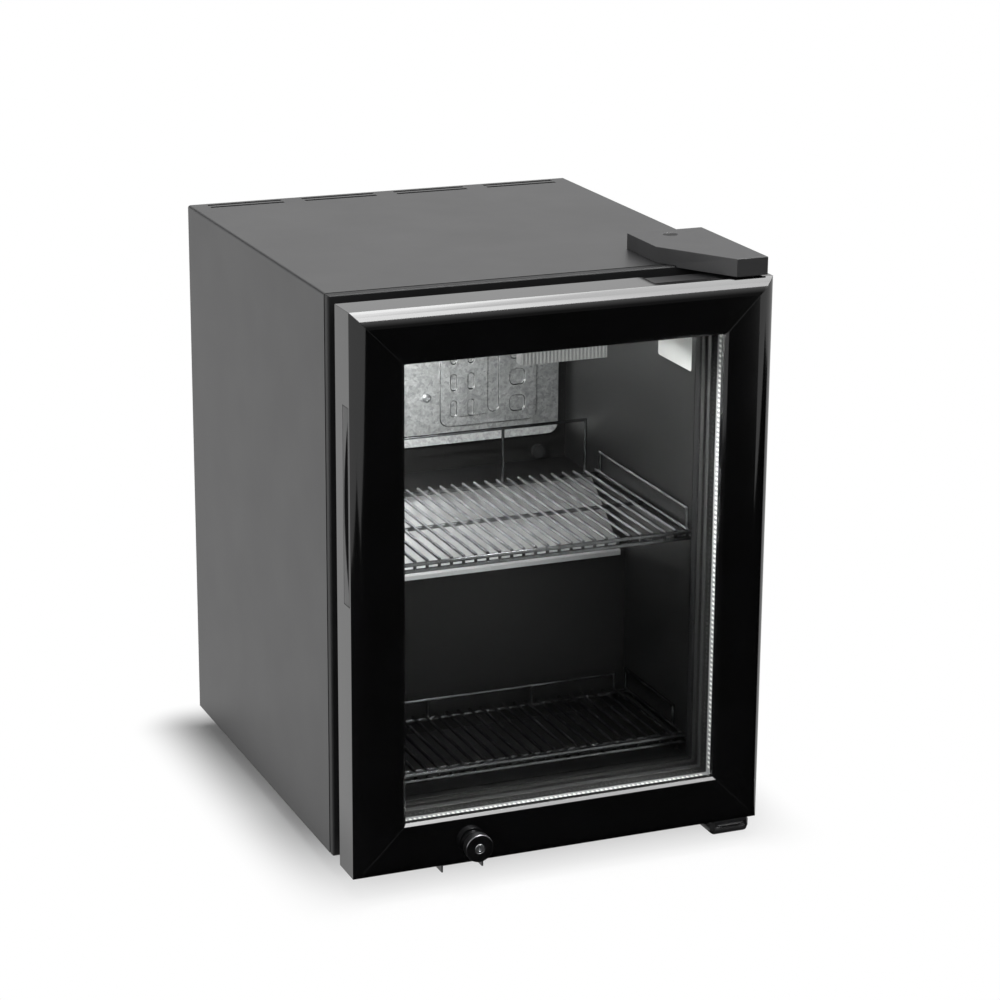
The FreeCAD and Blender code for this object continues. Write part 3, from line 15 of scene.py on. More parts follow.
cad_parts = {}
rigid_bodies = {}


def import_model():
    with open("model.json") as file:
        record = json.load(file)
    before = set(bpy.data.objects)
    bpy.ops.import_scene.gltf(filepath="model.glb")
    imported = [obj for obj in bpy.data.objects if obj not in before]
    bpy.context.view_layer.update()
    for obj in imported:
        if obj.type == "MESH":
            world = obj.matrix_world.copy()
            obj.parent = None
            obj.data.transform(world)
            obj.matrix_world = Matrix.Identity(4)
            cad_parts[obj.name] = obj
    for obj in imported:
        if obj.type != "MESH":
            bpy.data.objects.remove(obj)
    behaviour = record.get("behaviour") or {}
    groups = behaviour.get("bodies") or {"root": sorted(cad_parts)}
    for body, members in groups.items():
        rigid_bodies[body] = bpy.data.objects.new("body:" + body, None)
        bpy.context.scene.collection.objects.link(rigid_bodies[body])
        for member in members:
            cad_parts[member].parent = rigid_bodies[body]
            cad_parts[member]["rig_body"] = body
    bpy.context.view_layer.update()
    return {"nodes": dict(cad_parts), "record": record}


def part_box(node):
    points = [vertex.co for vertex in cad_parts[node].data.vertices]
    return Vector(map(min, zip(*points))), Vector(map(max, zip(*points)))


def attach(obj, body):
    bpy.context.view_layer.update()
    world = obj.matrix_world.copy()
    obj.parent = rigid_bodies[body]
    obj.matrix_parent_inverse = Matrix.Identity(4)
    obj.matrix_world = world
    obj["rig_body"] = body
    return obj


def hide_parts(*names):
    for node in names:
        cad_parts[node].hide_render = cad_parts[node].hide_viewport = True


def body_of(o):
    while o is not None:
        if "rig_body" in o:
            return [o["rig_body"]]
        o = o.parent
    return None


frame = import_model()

print("solids:", len(frame["nodes"]))

# %% [markdown]
# ## Colours
# A colour picker shows sRGB values, while Blender mixes light in linear values. One
# function turns the hex codes that are easy to compare with the photograph into
# linear colours, so every colour below can be read and changed as a hex code.

# %% Colour codes
def paint(code):
    """Turns an sRGB hex code such as #1A1A1B into a linear colour."""
    levels = [int(code[i:i + 2], 16) / 255 for i in (1, 3, 5)]
    linear = [v / 12.92 if v <= 0.04045 else ((v + 0.055) / 1.055) ** 2.4 for v in levels]
    return (*linear, 1.0)

# %% [markdown]
# ## Building a finish
# Each finish is a small network of nodes round one Principled shader. Two helpers
# keep the cells short: one starts a material with its typical values, and one adds a
# node with its settings and the links that feed it.

# %% Helpers for finishes
def finish_of(name, colour, roughness, metallic=0.0, **more):
    """Starts a material from the typical values of a real one."""
    material = bpy.data.materials.new(name)
    material.use_nodes = True
    shader = material.node_tree.nodes["Principled BSDF"]
    shader.inputs["Base Color"].default_value = paint(colour)
    shader.inputs["Roughness"].default_value = roughness
    shader.inputs["Metallic"].default_value = metallic
    for socket, value in more.items():
        shader.inputs[socket.replace("_", " ")].default_value = value
    return material

def add(material, kind, settings=(), links=()):
    """Adds a node: settings are its options and socket values, links feed its sockets."""
    node = material.node_tree.nodes.new(kind)
    for name, value in dict(settings).items():
        if isinstance(name, str) and name in node.bl_rna.properties:
            setattr(node, name, value)
        else:
            node.inputs[name].default_value = value
    for name, source in dict(links).items():
        material.node_tree.links.new(source, node.inputs[name])
    return node

def feed(material, socket, source):
    """Links a node's output to a socket of the material's shader."""
    shader = material.node_tree.nodes["Principled BSDF"]
    material.node_tree.links.new(source, shader.inputs[socket])

# %% [markdown]
# ## Grain
# No real surface is perfectly even. Moulded plastic has a fine spark-eroded grain,
# paint has orange peel, and bare metal has clouds of slightly different gloss. One
# recipe covers them: a fine noise drives the bump, and a coarse one moves the
# roughness and the colour a little. The sizes are given in millimetres.

# %% Surface grain
def surface_grain(material, grain_mm, depth_mm, cloud_mm, roughness, colours, stretch=(1, 1, 1)):
    """Gives a finish its fine bump and its slow changes of gloss and colour."""
    place = add(material, "ShaderNodeTexCoord")
    turned = add(material, "ShaderNodeMapping", {"Scale": stretch},
                 {"Vector": place.outputs["Object"]})
    fine = add(material, "ShaderNodeTexNoise", {"Scale": 1000 / grain_mm, "Detail": 3.0},
               {"Vector": turned.outputs["Vector"]})
    bump = add(material, "ShaderNodeBump", {"Strength": 0.6, "Distance": depth_mm / 1000},
               {"Height": fine.outputs["Fac"]})
    feed(material, "Normal", bump.outputs["Normal"])
    cloud = add(material, "ShaderNodeTexNoise", {"Scale": 1000 / cloud_mm, "Detail": 4.0},
                {"Vector": turned.outputs["Vector"]})
    gloss = add(material, "ShaderNodeMapRange", {"To Min": roughness[0], "To Max": roughness[1]},
                {"Value": cloud.outputs["Fac"]})
    feed(material, "Roughness", gloss.outputs["Result"])
    shade = add(material, "ShaderNodeValToRGB", links={"Fac": cloud.outputs["Fac"]})
    shade.color_ramp.elements[0].color = paint(colours[0])
    shade.color_ramp.elements[1].color = paint(colours[1])
    shade.color_ramp.elements[0].position = 0.3
    shade.color_ramp.elements[1].position = 0.7
    feed(material, "Base Color", shade.outputs["Color"])
    return material

# %% [markdown]
# ## Painted steel and powder coat
# The cabinet is folded from pre-painted steel sheet: a satin black film with a faint
# leather-like emboss about a millimetre across, which hides fingerprints and turns a
# highlight into a soft grey sheen. Brackets underneath are plain zinc-plated steel.

# %% Steel finishes
shell_steel = surface_grain(
    finish_of("prepainted_steel_sheet", "#1B1B1C", 0.42, Specular_IOR_Level=0.5),
    grain_mm=1.1, depth_mm=0.03, cloud_mm=60, roughness=(0.38, 0.46),
    colours=("#1A1A1B", "#1E1E1F"))
plain_steel = surface_grain(
    finish_of("zinc_plated_steel", "#8A8C8E", 0.4, metallic=1.0),
    grain_mm=0.8, depth_mm=0.01, cloud_mm=14, roughness=(0.32, 0.5),
    colours=("#7C7E80", "#999B9D"))
black_enamel = surface_grain(
    finish_of("stoved_black_enamel", "#0D0D0E", 0.28),
    grain_mm=2.0, depth_mm=0.03, cloud_mm=30, roughness=(0.24, 0.36),
    colours=("#0B0B0C", "#111112"))
print("steel finishes:", shell_steel.name, plain_steel.name, black_enamel.name)

# %% [markdown]
# ## Gloss black aluminium
# The door's rails are extruded aluminium with a gloss black powder coat. The paint is
# nearly a mirror, so what the eye reads is its reflections, broken only by a faint
# waviness from the extrusion that runs a few centimetres long.

# %% Door rail finish
door_aluminium = surface_grain(
    finish_of("gloss_coated_aluminium", "#050506", 0.09, Specular_IOR_Level=0.5),
    grain_mm=24, depth_mm=0.006, cloud_mm=50, roughness=(0.06, 0.1),
    colours=("#0A0A0A", "#0D0D0E"))
print("door finish:", door_aluminium.name)

# %% [markdown]
# ## Moulded plastics and rubber
# The frame round the cabin, the liner, the hinge cover and the grip are moulded or
# vacuum-formed plastics. They are matt black with a fine grain from the mould. Rubber is
# duller still and shows no highlight edge.

# %% Plastic and rubber finishes
def moulded(name, colour, lighter, roughness, grain_mm=0.9, depth_mm=0.03, shine=0.5):
    """A moulded plastic with a spark-eroded grain, drawn a little coarse so that it shows."""
    return surface_grain(finish_of(name, colour, roughness, Specular_IOR_Level=shine),
                         grain_mm=grain_mm, depth_mm=depth_mm,
                         cloud_mm=35, roughness=(roughness - 0.05, roughness + 0.06),
                         colours=(colour, lighter))

liner_plastic = moulded("vacuum_formed_liner", "#101010", "#151515", 0.45,
                        grain_mm=1.6, depth_mm=0.008, shine=0.3)
frame_plastic = moulded("extruded_frame_plastic", "#161617", "#1A1A1B", 0.55, shine=0.25)
cover_plastic = moulded("moulded_cover_plastic", "#262627", "#2C2C2D", 0.46)
grip_plastic = moulded("moulded_grip_plastic", "#161617", "#1B1B1C", 0.38)
bead_plastic = moulded("extruded_bead_plastic", "#121213", "#161617", 0.45)
switch_plastic = moulded("switch_plastic", "#151516", "#1A1A1B", 0.5)
lamp_plastic = moulded("grey_lamp_plastic", "#77787A", "#828385", 0.35)
seal_rubber = moulded("magnetic_seal_rubber", "#1A1A1A", "#202020", 0.6)
foot_rubber = moulded("moulded_foot_rubber", "#171717", "#1E1E1E", 0.7)
dimple_shade_black = moulded("black_plug_rubber", "#080808", "#0C0C0C", 0.6, shine=0.3)
gland_rubber = moulded("dark_plug_rubber", "#101011", "#141415", 0.7, shine=0.3)
foam = moulded("poured_wall_foam", "#D9CDA6", "#E6DCB9", 0.9, grain_mm=1.4, depth_mm=0.2)
print("plastic finishes:", liner_plastic.name, frame_plastic.name, cover_plastic.name)

# %% [markdown]
# ## Bright metals
# Shelf wire is drawn steel with a bright plating, so it is a mirror with very fine
# draw lines. The lock is plated too. The drip plate is bare aluminium sheet with its
# rolling lines along the width.

# %% Bright metal finishes
shelf_wire = surface_grain(
    finish_of("plated_shelf_wire", "#6C6D6F", 0.2, metallic=1.0),
    grain_mm=1.2, depth_mm=0.01, cloud_mm=12, roughness=(0.14, 0.22),
    colours=("#646567", "#747577"))
lock_metal = surface_grain(
    finish_of("plated_lock_metal", "#6A6A6C", 0.32, metallic=1.0),
    grain_mm=0.8, depth_mm=0.01, cloud_mm=8, roughness=(0.28, 0.38),
    colours=("#626264", "#727274"))
bright_aluminium = surface_grain(
    finish_of("rolled_aluminium_sheet", "#D4D5D6", 0.5, metallic=1.0),
    grain_mm=1.5, depth_mm=0.01, cloud_mm=20, roughness=(0.46, 0.54),
    colours=("#CECFD0", "#DADBDC"),
    stretch=(0.1, 1, 1))
plug_metal = surface_grain(
    finish_of("nickel_lock_plug", "#C0C1C3", 0.42, metallic=1.0),
    grain_mm=0.8, depth_mm=0.01, cloud_mm=5, roughness=(0.38, 0.48),
    colours=("#B4B5B7", "#CCCDCF"))
screw_metal = surface_grain(
    finish_of("plated_screw", "#D4D5D7", 0.32, metallic=1.0),
    grain_mm=0.8, depth_mm=0.01, cloud_mm=5, roughness=(0.28, 0.4), colours=("#CBCCCE", "#DEDFE1"))
print("bright finishes:", shelf_wire.name, lock_metal.name, bright_aluminium.name)

# %% [markdown]
# ## The cold plate
# The evaporator is two aluminium sheets rolled together with a printed channel
# between them. Its surface has the mottle of crystals a few millimetres across, each
# with its own grey and gloss. Cells of a Voronoi texture make such crystals, with a
# noise that makes their edges ragged. The slopes of the pressed folds are coloured
# darker than the flats, as painted shade, and that draws the channel's outline.
# Another noise lays the faint stains that dried water leaves.

# %% Cold plate finish
crystals_per_metre = 420.0
cold_plate = finish_of("roll_bonded_aluminium", "#B4B6B8", 0.4, metallic=1.0)
place = add(cold_plate, "ShaderNodeTexCoord")
ragged = add(cold_plate, "ShaderNodeTexNoise", {"Scale": 260.0, "Detail": 3.0},
             {"Vector": place.outputs["Object"]})
shifted = add(cold_plate, "ShaderNodeVectorMath", {"operation": "SCALE", "Scale": 0.005},
              {0: ragged.outputs["Color"]})
moved = add(cold_plate, "ShaderNodeVectorMath", {"operation": "ADD"},
            {0: place.outputs["Object"], 1: shifted.outputs["Vector"]})
crystal = add(cold_plate, "ShaderNodeTexVoronoi", {"Scale": crystals_per_metre},
              {"Vector": moved.outputs["Vector"]})
split = add(cold_plate, "ShaderNodeSeparateColor", links={"Color": crystal.outputs["Color"]})
greys = add(cold_plate, "ShaderNodeValToRGB", links={"Fac": split.outputs["Red"]})
greys.color_ramp.elements[0].color = paint("#B0B1B2")
greys.color_ramp.elements[1].color = paint("#DBDCDD")
# Slopes whose normals turn away from the front get a darker colour: painted shade that outlines
# the channel.
slope = add(cold_plate, "ShaderNodeSeparateXYZ", links={"Vector": place.outputs["Normal"]})
facing = add(cold_plate, "ShaderNodeMath", {"operation": "ABSOLUTE"}, {0: slope.outputs["Y"]})
fold_shade = add(cold_plate, "ShaderNodeMapRange",
           {"From Min": 0.75, "From Max": 0.99, "To Min": 0.2, "To Max": 1.0},
           {"Value": facing.outputs["Value"]})
smudge = add(cold_plate, "ShaderNodeTexNoise", {"Scale": 190.0, "Detail": 6.0, "Roughness": 0.65},
             {"Vector": place.outputs["Object"]})
stain = add(cold_plate, "ShaderNodeMapRange",
            {"From Min": 0.32, "From Max": 0.6, "To Min": 0.8, "To Max": 1.0},
            {"Value": smudge.outputs["Fac"]})
level = add(cold_plate, "ShaderNodeMath", {"operation": "MULTIPLY"},
            {0: fold_shade.outputs["Result"], 1: stain.outputs["Result"]})
stain_and_fold_shade = add(cold_plate, "ShaderNodeVectorMath", {"operation": "SCALE"},
             {0: greys.outputs["Color"], "Scale": level.outputs["Value"]})
feed(cold_plate, "Base Color", stain_and_fold_shade.outputs["Vector"])
gloss = add(cold_plate, "ShaderNodeMapRange", {"To Min": 0.4, "To Max": 0.5},
            {"Value": split.outputs["Green"]})
feed(cold_plate, "Roughness", gloss.outputs["Result"])
dents = add(cold_plate, "ShaderNodeBump", {"Strength": 0.1, "Distance": 0.0002},
            {"Height": ragged.outputs["Fac"]})
feed(cold_plate, "Normal", dents.outputs["Normal"])
print("cold plate crystals:", round(1000 / crystals_per_metre, 1), "mm")

# %% [markdown]
# ## Glass and clear plastic
# Float glass is clear with a trace of green from its iron. The panes let lamp light
# through without casting a shadow, which keeps the cabin lit and free of noise. The
# lamp's cover is clear polycarbonate moulded with ribs a few millimetres apart.

# %% Clear finishes
pane_glass = finish_of("float_glass", "#FBFCFB", 0.0, Transmission_Weight=1.0, IOR=1.5)
place = add(pane_glass, "ShaderNodeTexCoord")
ripple = add(pane_glass, "ShaderNodeTexNoise", {"Scale": 6.0, "Detail": 1.0},
             {"Vector": place.outputs["Object"]})
wave = add(pane_glass, "ShaderNodeBump", {"Strength": 0.05, "Distance": 0.0005},
           {"Height": ripple.outputs["Fac"]})
feed(pane_glass, "Normal", wave.outputs["Normal"])

rib_pitch = 0.0034
lamp_clear = finish_of("ribbed_polycarbonate", "#929393", 0.3,
                       Transmission_Weight=0.35, IOR=1.5, Emission_Color=(1, 1, 1, 1))
place = add(lamp_clear, "ShaderNodeTexCoord")
ribs = add(lamp_clear, "ShaderNodeTexWave",
           {"bands_direction": "X", "Scale": math.pi / 10 / rib_pitch},
           {"Vector": place.outputs["Object"]})
ridge = add(lamp_clear, "ShaderNodeBump", {"Strength": 0.8, "Distance": 0.001},
            {"Height": ribs.outputs["Fac"]})
feed(lamp_clear, "Normal", ridge.outputs["Normal"])
# The cover also glows faintly in bands along its ribs: painted light.
glow = add(lamp_clear, "ShaderNodeMapRange", {"To Min": 0.04, "To Max": 0.22},
           {"Value": ribs.outputs["Fac"]})
feed(lamp_clear, "Emission Strength", glow.outputs["Result"])
print("clear finishes:", pane_glass.name, lamp_clear.name)

# %% [markdown]
# ## The spacer between the panes
# The bar between the panes is a folded metal tube filled with white drying beads. Its
# inner face has a row of small punched holes, through which the beads show.

# %% Spacer finishes
spacer_metal = surface_grain(
    finish_of("folded_spacer_bar", "#949596", 0.45, metallic=0.25),
    grain_mm=1.0, depth_mm=0.01, cloud_mm=20, roughness=(0.42, 0.5),
    colours=("#8E8F90", "#9A9B9C"))
bead_white = surface_grain(
    finish_of("white_drying_beads", "#F0F0EE", 0.7),
    grain_mm=0.5, depth_mm=0.05, cloud_mm=3, roughness=(0.65, 0.75),
    colours=("#E8E8E6", "#F4F4F2"))
print("spacer finishes:", spacer_metal.name, bead_white.name)

# %% [markdown]
# ## Finish every solid
# Most solids already have the right shape, so they only take a finish. The list
# follows the record's material slots, which keeps pieces of one material together.

# %% Give each solid its finish
finishes = {
    "shell_steel": shell_steel, "foam": foam, "liner_plastic": liner_plastic,
    "frame_plastic": frame_plastic, "plain_steel": plain_steel, "foot_rubber": foot_rubber,
    "cold_plate_aluminium": cold_plate, "plated_steel": screw_metal,
    "bright_aluminium": bright_aluminium, "grey_rubber": gland_rubber,
    "lamp_plastic": lamp_plastic, "clear_plastic": lamp_clear, "black_enamel": black_enamel,
    "switch_plastic": switch_plastic, "knob_plastic": grip_plastic, "shelf_wire": shelf_wire,
    "door_aluminium": door_aluminium, "key_plastic": bead_plastic, "pane_glass": pane_glass,
    "spacer_aluminium": spacer_metal, "bead_plastic": bead_plastic, "seal_rubber": seal_rubber,
    "grip_plastic": grip_plastic, "cover_plastic": cover_plastic, "lock_metal": lock_metal,
}
slots = {part["node"]: part["material_slot"] for part in frame["record"]["subparts"]}
for node, solid in frame["nodes"].items():
    solid.data.materials.clear()
    solid.data.materials.append(finishes[slots[node]])
print("finished solids:", len(slots))

# %% [markdown]
# ## Handling a piece
# Modelling works on what is selected, so each step starts from a clean selection. The
# helpers below select one piece, copy it with a mesh of its own, write its place into
# its mesh, and press one flat face in or out.

# %% Helpers for pieces
quarter = math.pi / 2

def only(piece):
    """Makes one object the selected and active one."""
    bpy.ops.object.select_all(action="DESELECT")
    piece.select_set(True)
    bpy.context.view_layer.objects.active = piece

def twin(piece, name):
    """A copy of a piece with its own mesh, selected alone."""
    copy = piece.copy()
    copy.data = piece.data.copy()
    bpy.context.collection.objects.link(copy)
    copy.name = name
    only(copy)
    return copy

def settle():
    """Writes the selected piece's place, turn and size into its mesh."""
    bpy.ops.object.transform_apply(location=True, rotation=True, scale=True)

def press(piece, along, inward, push):
    """Insets the many-sided face that looks along a direction, and moves it that way."""
    only(piece)
    bpy.ops.object.mode_set(mode="EDIT")
    bpy.ops.mesh.select_all(action="DESELECT")
    bpy.ops.object.mode_set(mode="OBJECT")
    for face in piece.data.polygons:
        face.select = len(face.vertices) > 4 and face.normal.dot(along) > 0.5
    bpy.ops.object.mode_set(mode="EDIT")
    bpy.ops.mesh.inset(thickness=inward)
    bpy.ops.transform.translate(value=along * push)
    bpy.ops.object.mode_set(mode="OBJECT")

print("helpers:", [helper.__name__ for helper in (only, twin, settle, press)])

# %% [markdown]
# ## Smooth the round solids
# Wires, tubes and knobs are many-sided in the solids. Shading that is smooth where
# faces meet at a small angle makes them look round and leaves real corners sharp.

# %% Smooth shading by angle
for solid in frame["nodes"].values():
    only(solid)
    bpy.ops.object.shade_smooth_by_angle(angle=math.radians(40))

for pane in ("glass_outer", "glass_inner"):
    frame["nodes"][pane].visible_shadow = False
print("smoothed solids:", len(frame["nodes"]), "and the panes cast no shadow")

# %% [markdown]
# ## Edges that catch the light
# No moulded or folded edge is truly sharp: each has a small radius that draws a thin
# bright line. A solid's mesh is loose triangles, so a copy is merged to clean faces
# first and then bevelled, and it stands for the solid.

# %% Round the edges of a copy
def softened(node, name, width_mm, segments=2, limit=35):
    """A copy of a solid with rounded edges, in the solid's place and on its body."""
    solid = frame["nodes"][node]
    piece = twin(solid, name)
    piece.parent = None
    piece.matrix_world = Matrix.Identity(4)
    bpy.ops.object.mode_set(mode="EDIT")
    bpy.ops.mesh.select_all(action="SELECT")
    bpy.ops.mesh.remove_doubles(threshold=0.00001)
    bpy.ops.mesh.dissolve_limited(angle_limit=math.radians(1))
    bpy.ops.object.mode_set(mode="OBJECT")
    bevel = piece.modifiers.new("edge radius", "BEVEL")
    bevel.width = width_mm / 1000
    bevel.segments = segments
    bevel.use_clamp_overlap = False
    bevel.limit_method = "ANGLE"
    bevel.angle_limit = math.radians(limit)
    bpy.ops.object.modifier_apply(modifier=bevel.name)
    bpy.ops.object.shade_smooth_by_angle(angle=math.radians(40))
    flats = piece.modifiers.new("flat faces stay flat", "WEIGHTED_NORMAL")
    flats.keep_sharp = True
    bpy.ops.object.modifier_apply(modifier=flats.name)
    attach(piece, body_of(solid)[0])
    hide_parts(node)
    return piece

print("recipe for rounded edges:", softened.__name__)

# %% [markdown]
# Every piece below has an edge that shows. The widths are in millimetres, and each
# stays smaller than the piece's own steps and dimples.

# %% Round the pieces that show
rounded = [
    softened("front_frame", "cabin_frame_moulding", 0.7),
    softened("hinge_cover", "hinge_cover_moulding", 0.4),
    softened("hinge_shoe", "hinge_shoe_moulding", 3.0, 4),
    softened("grip_insert", "side_grip_moulding", 0.6),
    softened("rail_left", "left_rail_coated", 0.25),
    softened("rail_right", "right_rail_coated", 0.25),
    softened("rail_top", "top_rail_coated", 0.25),
    softened("rail_bottom", "bottom_rail_coated", 0.25),
    softened("glazing_bead", "glazing_bead_moulding", 0.6),
    softened("door_gasket", "seal_moulding", 0.8),
    softened("lock_barrel", "lock_barrel_turned", 1.0, 3),
    softened("lock_plug", "lock_plug_turned", 0.4),
    softened("thermostat_knob", "control_knob_moulding", 0.7),
    softened("mains_gland", "mains_gland_moulding", 0.6),
    softened("feet", "foot_mouldings", 1.2),
    softened("lock_strike", "lock_strike_folded", 0.3),
    softened("top_hinge_cap", "hinge_cap_moulding", 0.5),
    softened("evaporator_plate", "cold_plate_pressing", 0.7, 3),
    softened("lamp_cover", "lamp_cover_moulding", 0.6),
]
bpy.data.objects["lamp_cover_moulding"].visible_shadow = False
bpy.data.objects["lock_plug_turned"].data.materials[0] = plug_metal
print("rounded pieces:", len(rounded), "faces:", sum(len(p.data.polygons) for p in rounded))

# %% [markdown]
# ## Dark disc in the hinge cover
# A near-black disc lies in the cover's screw hole, as painted shade in the hole. It is a
# flat disc whose face is inset three times, first raised to a rim and then pressed into a dish.

# %% Dished shade disc
shade_disc_radius = 0.0064
shade_disc_depth = 0.0003
shade_disc_below_top = 0.00065
shade_disc_from_left, shade_disc_from_back = 0.033, 0.018
cover_low, cover_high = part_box("hinge_cover")
bpy.ops.object.select_all(action="DESELECT")
bpy.ops.mesh.primitive_cylinder_add(
    vertices=40, radius=shade_disc_radius, depth=shade_disc_depth,
    location=(cover_low.x + shade_disc_from_left, cover_high.y - shade_disc_from_back,
              cover_high.z - shade_disc_below_top))
shade_disc = bpy.context.object
shade_disc.name = "hinge_cover_plug"
settle()
for inward, upward in ((0.0003, 0.0002), (0.0009, -0.0001), (0.0012, -0.0002)):
    press(shade_disc, Vector((0, 0, 1)), inward, upward)
bpy.ops.object.shade_smooth_by_angle(angle=math.radians(50))
# The disc's near-black colour is painted shade in the screw hole.
shade_disc.data.materials.append(dimple_shade_black)
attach(shade_disc, "cabinet")
print("plug faces:", len(shade_disc.data.polygons))

# %% [markdown]
# ## Data sticker
# A white sticker is on the cabin's right wall, high up behind the door. It is left
# blank. It is a sheet of coated paper with rounded corners, 0.15 mm thick, so a thin
# box is scaled to size and its corners are bevelled.

# %% Blank sticker on the wall
paper = surface_grain(
    finish_of("coated_sticker_paper", "#E9E9E6", 0.45), grain_mm=0.9, depth_mm=0.01, cloud_mm=18,
    roughness=(0.4, 0.5), colours=("#EFEFED", "#F4F4F2"))
wall_x = 0.147
sticker_lift = 0.0001
sticker_from_front, sticker_height = 0.041, 0.435
sticker_size = (0.00015, 0.067, 0.041)
corner_radius = 0.002
liner_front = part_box("inner_liner")[0].y
bpy.ops.object.select_all(action="DESELECT")
bpy.ops.mesh.primitive_cube_add(
    size=1, location=(wall_x - sticker_lift, liner_front + sticker_from_front, sticker_height))
sticker = bpy.context.object
sticker.name = "blank_wall_sticker"
sticker.scale = sticker_size
settle()
corners = sticker.modifiers.new("round corners", "BEVEL")
corners.width = corner_radius
corners.segments = 4
corners.limit_method = "WEIGHT"
weights = sticker.data.attributes.new("bevel_weight_edge", "FLOAT", "EDGE")
for edge in sticker.data.edges:
    ends = [sticker.data.vertices[i].co for i in edge.vertices]
    if abs(ends[0].x - ends[1].x) > sticker_size[0] / 2:
        weights.data[edge.index].value = 1.0
only(sticker)
bpy.ops.object.modifier_apply(modifier=corners.name)
sticker.data.materials.append(paper)
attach(sticker, "cabinet")
print("sticker:", [round(v * 1000, 1) for v in sticker_size], "mm")

# %% [markdown]
# ## Screws on the cold plate
# Four pan-head screws hold the cold plate. The head is a low dome with a cross
# recess. A cylinder's outer face is inset and pushed out for the dome, and a cross
# of two bars is cut out of it. One screw is modelled and the others are its copies.

# %% Pan-head screw
head_low, head_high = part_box("evaporator_screws")
head_depth = head_high.y - head_low.y
head_radius = 0.0042
rim_share = 0.45
bpy.ops.object.select_all(action="DESELECT")
bpy.ops.mesh.primitive_cylinder_add(
    vertices=32, radius=head_radius, depth=head_depth * rim_share,
    location=(0, -head_depth * rim_share / 2, 0), rotation=(quarter, 0, 0))
screw = bpy.context.object
settle()
for inward, outward in ((0.12, 0.26), (0.2, 0.17), (0.25, 0.08)):
    press(screw, Vector((0, -1, 0)), head_radius * inward, head_depth * outward)
print("screw faces:", len(screw.data.polygons), "depth:", round(head_depth * 1000, 2), "mm")

# %% [markdown]
# The cross recess is cut with two flat bars, one across the other.

# %% Cross recess
bar_long, bar_thin = 0.62, 0.16
recess_share = 0.9
for across, upward in ((bar_long, bar_thin), (bar_thin, bar_long)):
    bpy.ops.object.select_all(action="DESELECT")
    bpy.ops.mesh.primitive_cube_add(size=1, location=(0, -head_depth * recess_share, 0))
    cutter = bpy.context.object
    cutter.scale = (head_radius * 2 * across, head_depth * recess_share,
                    head_radius * 2 * upward)
    settle()
    recess = screw.modifiers.new("cross recess", "BOOLEAN")
    recess.operation = "DIFFERENCE"
    recess.object = cutter
    recess.solver = "EXACT"
    only(screw)
    bpy.ops.object.modifier_apply(modifier=recess.name)
    bpy.data.objects.remove(cutter, do_unlink=True)
bpy.ops.object.shade_smooth_by_angle(angle=math.radians(45))
screw.data.materials.append(screw_metal)
print("screw faces with the recess:", len(screw.data.polygons))

# %% [markdown]
# The heads' places are read from the solids: points closer together than one and a half
# head widths belong to one screw. Each copy has its own mesh and keeps its place in it.

# %% Place the screws
def place_screw(name, where, turn=0.0, size=1.0):
    """Sets a copy of the screw on the cabinet."""
    head = twin(screw, name)
    head.location = where
    head.rotation_euler = (0, 0, turn)
    head.scale = (size, size, size)
    settle()
    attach(head, "cabinet")
    return head

heads = []
for vertex in frame["nodes"]["evaporator_screws"].data.vertices:
    near = [head for head in heads if (head[0] - vertex.co).length < head_radius * 3]
    if near:
        near[0].append(vertex.co.copy())
    else:
        heads.append([vertex.co.copy()])
for number, points in enumerate(heads):
    centre = sum(points, Vector()) / len(points)
    head = place_screw(f"cold_plate_screw_{number}", (centre.x, head_high.y, centre.z))
    if number == 0:
        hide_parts("evaporator_screws")
print("screws placed:", len(heads))

# %% [markdown]
# Ten smaller heads of the same form hold the rear panel along its edges. They are turned
# round to face backward.

# %% Screws of the rear panel
panel_low, panel_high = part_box("rear_panel")
margin = 0.009
rear_size = 0.7
bottom_row, top_row = panel_low.z + 1.5 * margin, panel_high.z - 1.5 * margin
levels = [bottom_row + (top_row - bottom_row) * step / 3 for step in range(4)]
places = [(x, z) for x in (panel_low.x + margin, panel_high.x - margin) for z in levels]
places += [(0, bottom_row), (0, top_row)]
for number, (x, z) in enumerate(places):
    place_screw(f"rear_panel_screw_{number}", (x, panel_high.y, z), math.pi, rear_size)
bpy.data.objects.remove(screw, do_unlink=True)
print("rear screws:", len(places))

# %% [markdown]
# ## Holes in the spacer
# The holes are laid along the inner faces of the four bars, a little behind the middle
# of their depth. The faces' places are read from the solid, and each row starts so that
# it is centred on its bar.

# %% Places of the rows
hole_pitch = 0.00436
behind_middle_share = 0.16
bars = [vertex.co for vertex in frame["nodes"]["glass_spacer"].data.vertices]
bar_low, bar_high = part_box("glass_spacer")
bar_middle = (bar_low + bar_high) / 2
row_y = bar_middle.y + behind_middle_share * (bar_high.y - bar_low.y)
left_x = max(p.x for p in bars if p.x < bar_middle.x)
right_x = min(p.x for p in bars if p.x > bar_middle.x)
bottom_z = max(p.z for p in bars if p.z < bar_middle.z)
top_z = min(p.z for p in bars if p.z > bar_middle.z)
tall = int((top_z - bottom_z) / hole_pitch) - 2
wide = int((right_x - left_x) / hole_pitch) - 2
rise = (tall - 1) * hole_pitch / 2
reach = (wide - 1) * hole_pitch / 2
rows = (
    ("left", tall, (left_x, row_y, bar_middle.z + rise), (0, quarter, 0)),
    ("right", tall, (right_x, row_y, bar_middle.z - rise), (0, -quarter, 0)),
    ("bottom", wide, (bar_middle.x - reach, row_y, bottom_z), (0, 0, 0)),
    ("top", wide, (bar_middle.x - reach, row_y, top_z), (math.pi, 0, 0)),
)
print("holes in a row:", tall, "up and", wide, "across")

# %% [markdown]
# The pale drying beads fill each hole nearly to its rim, so a hole is shown as a thin
# oval disc, sunk into the bar to half its thickness. An array makes a row of them, and
# a turned copy of it is laid along each bar.

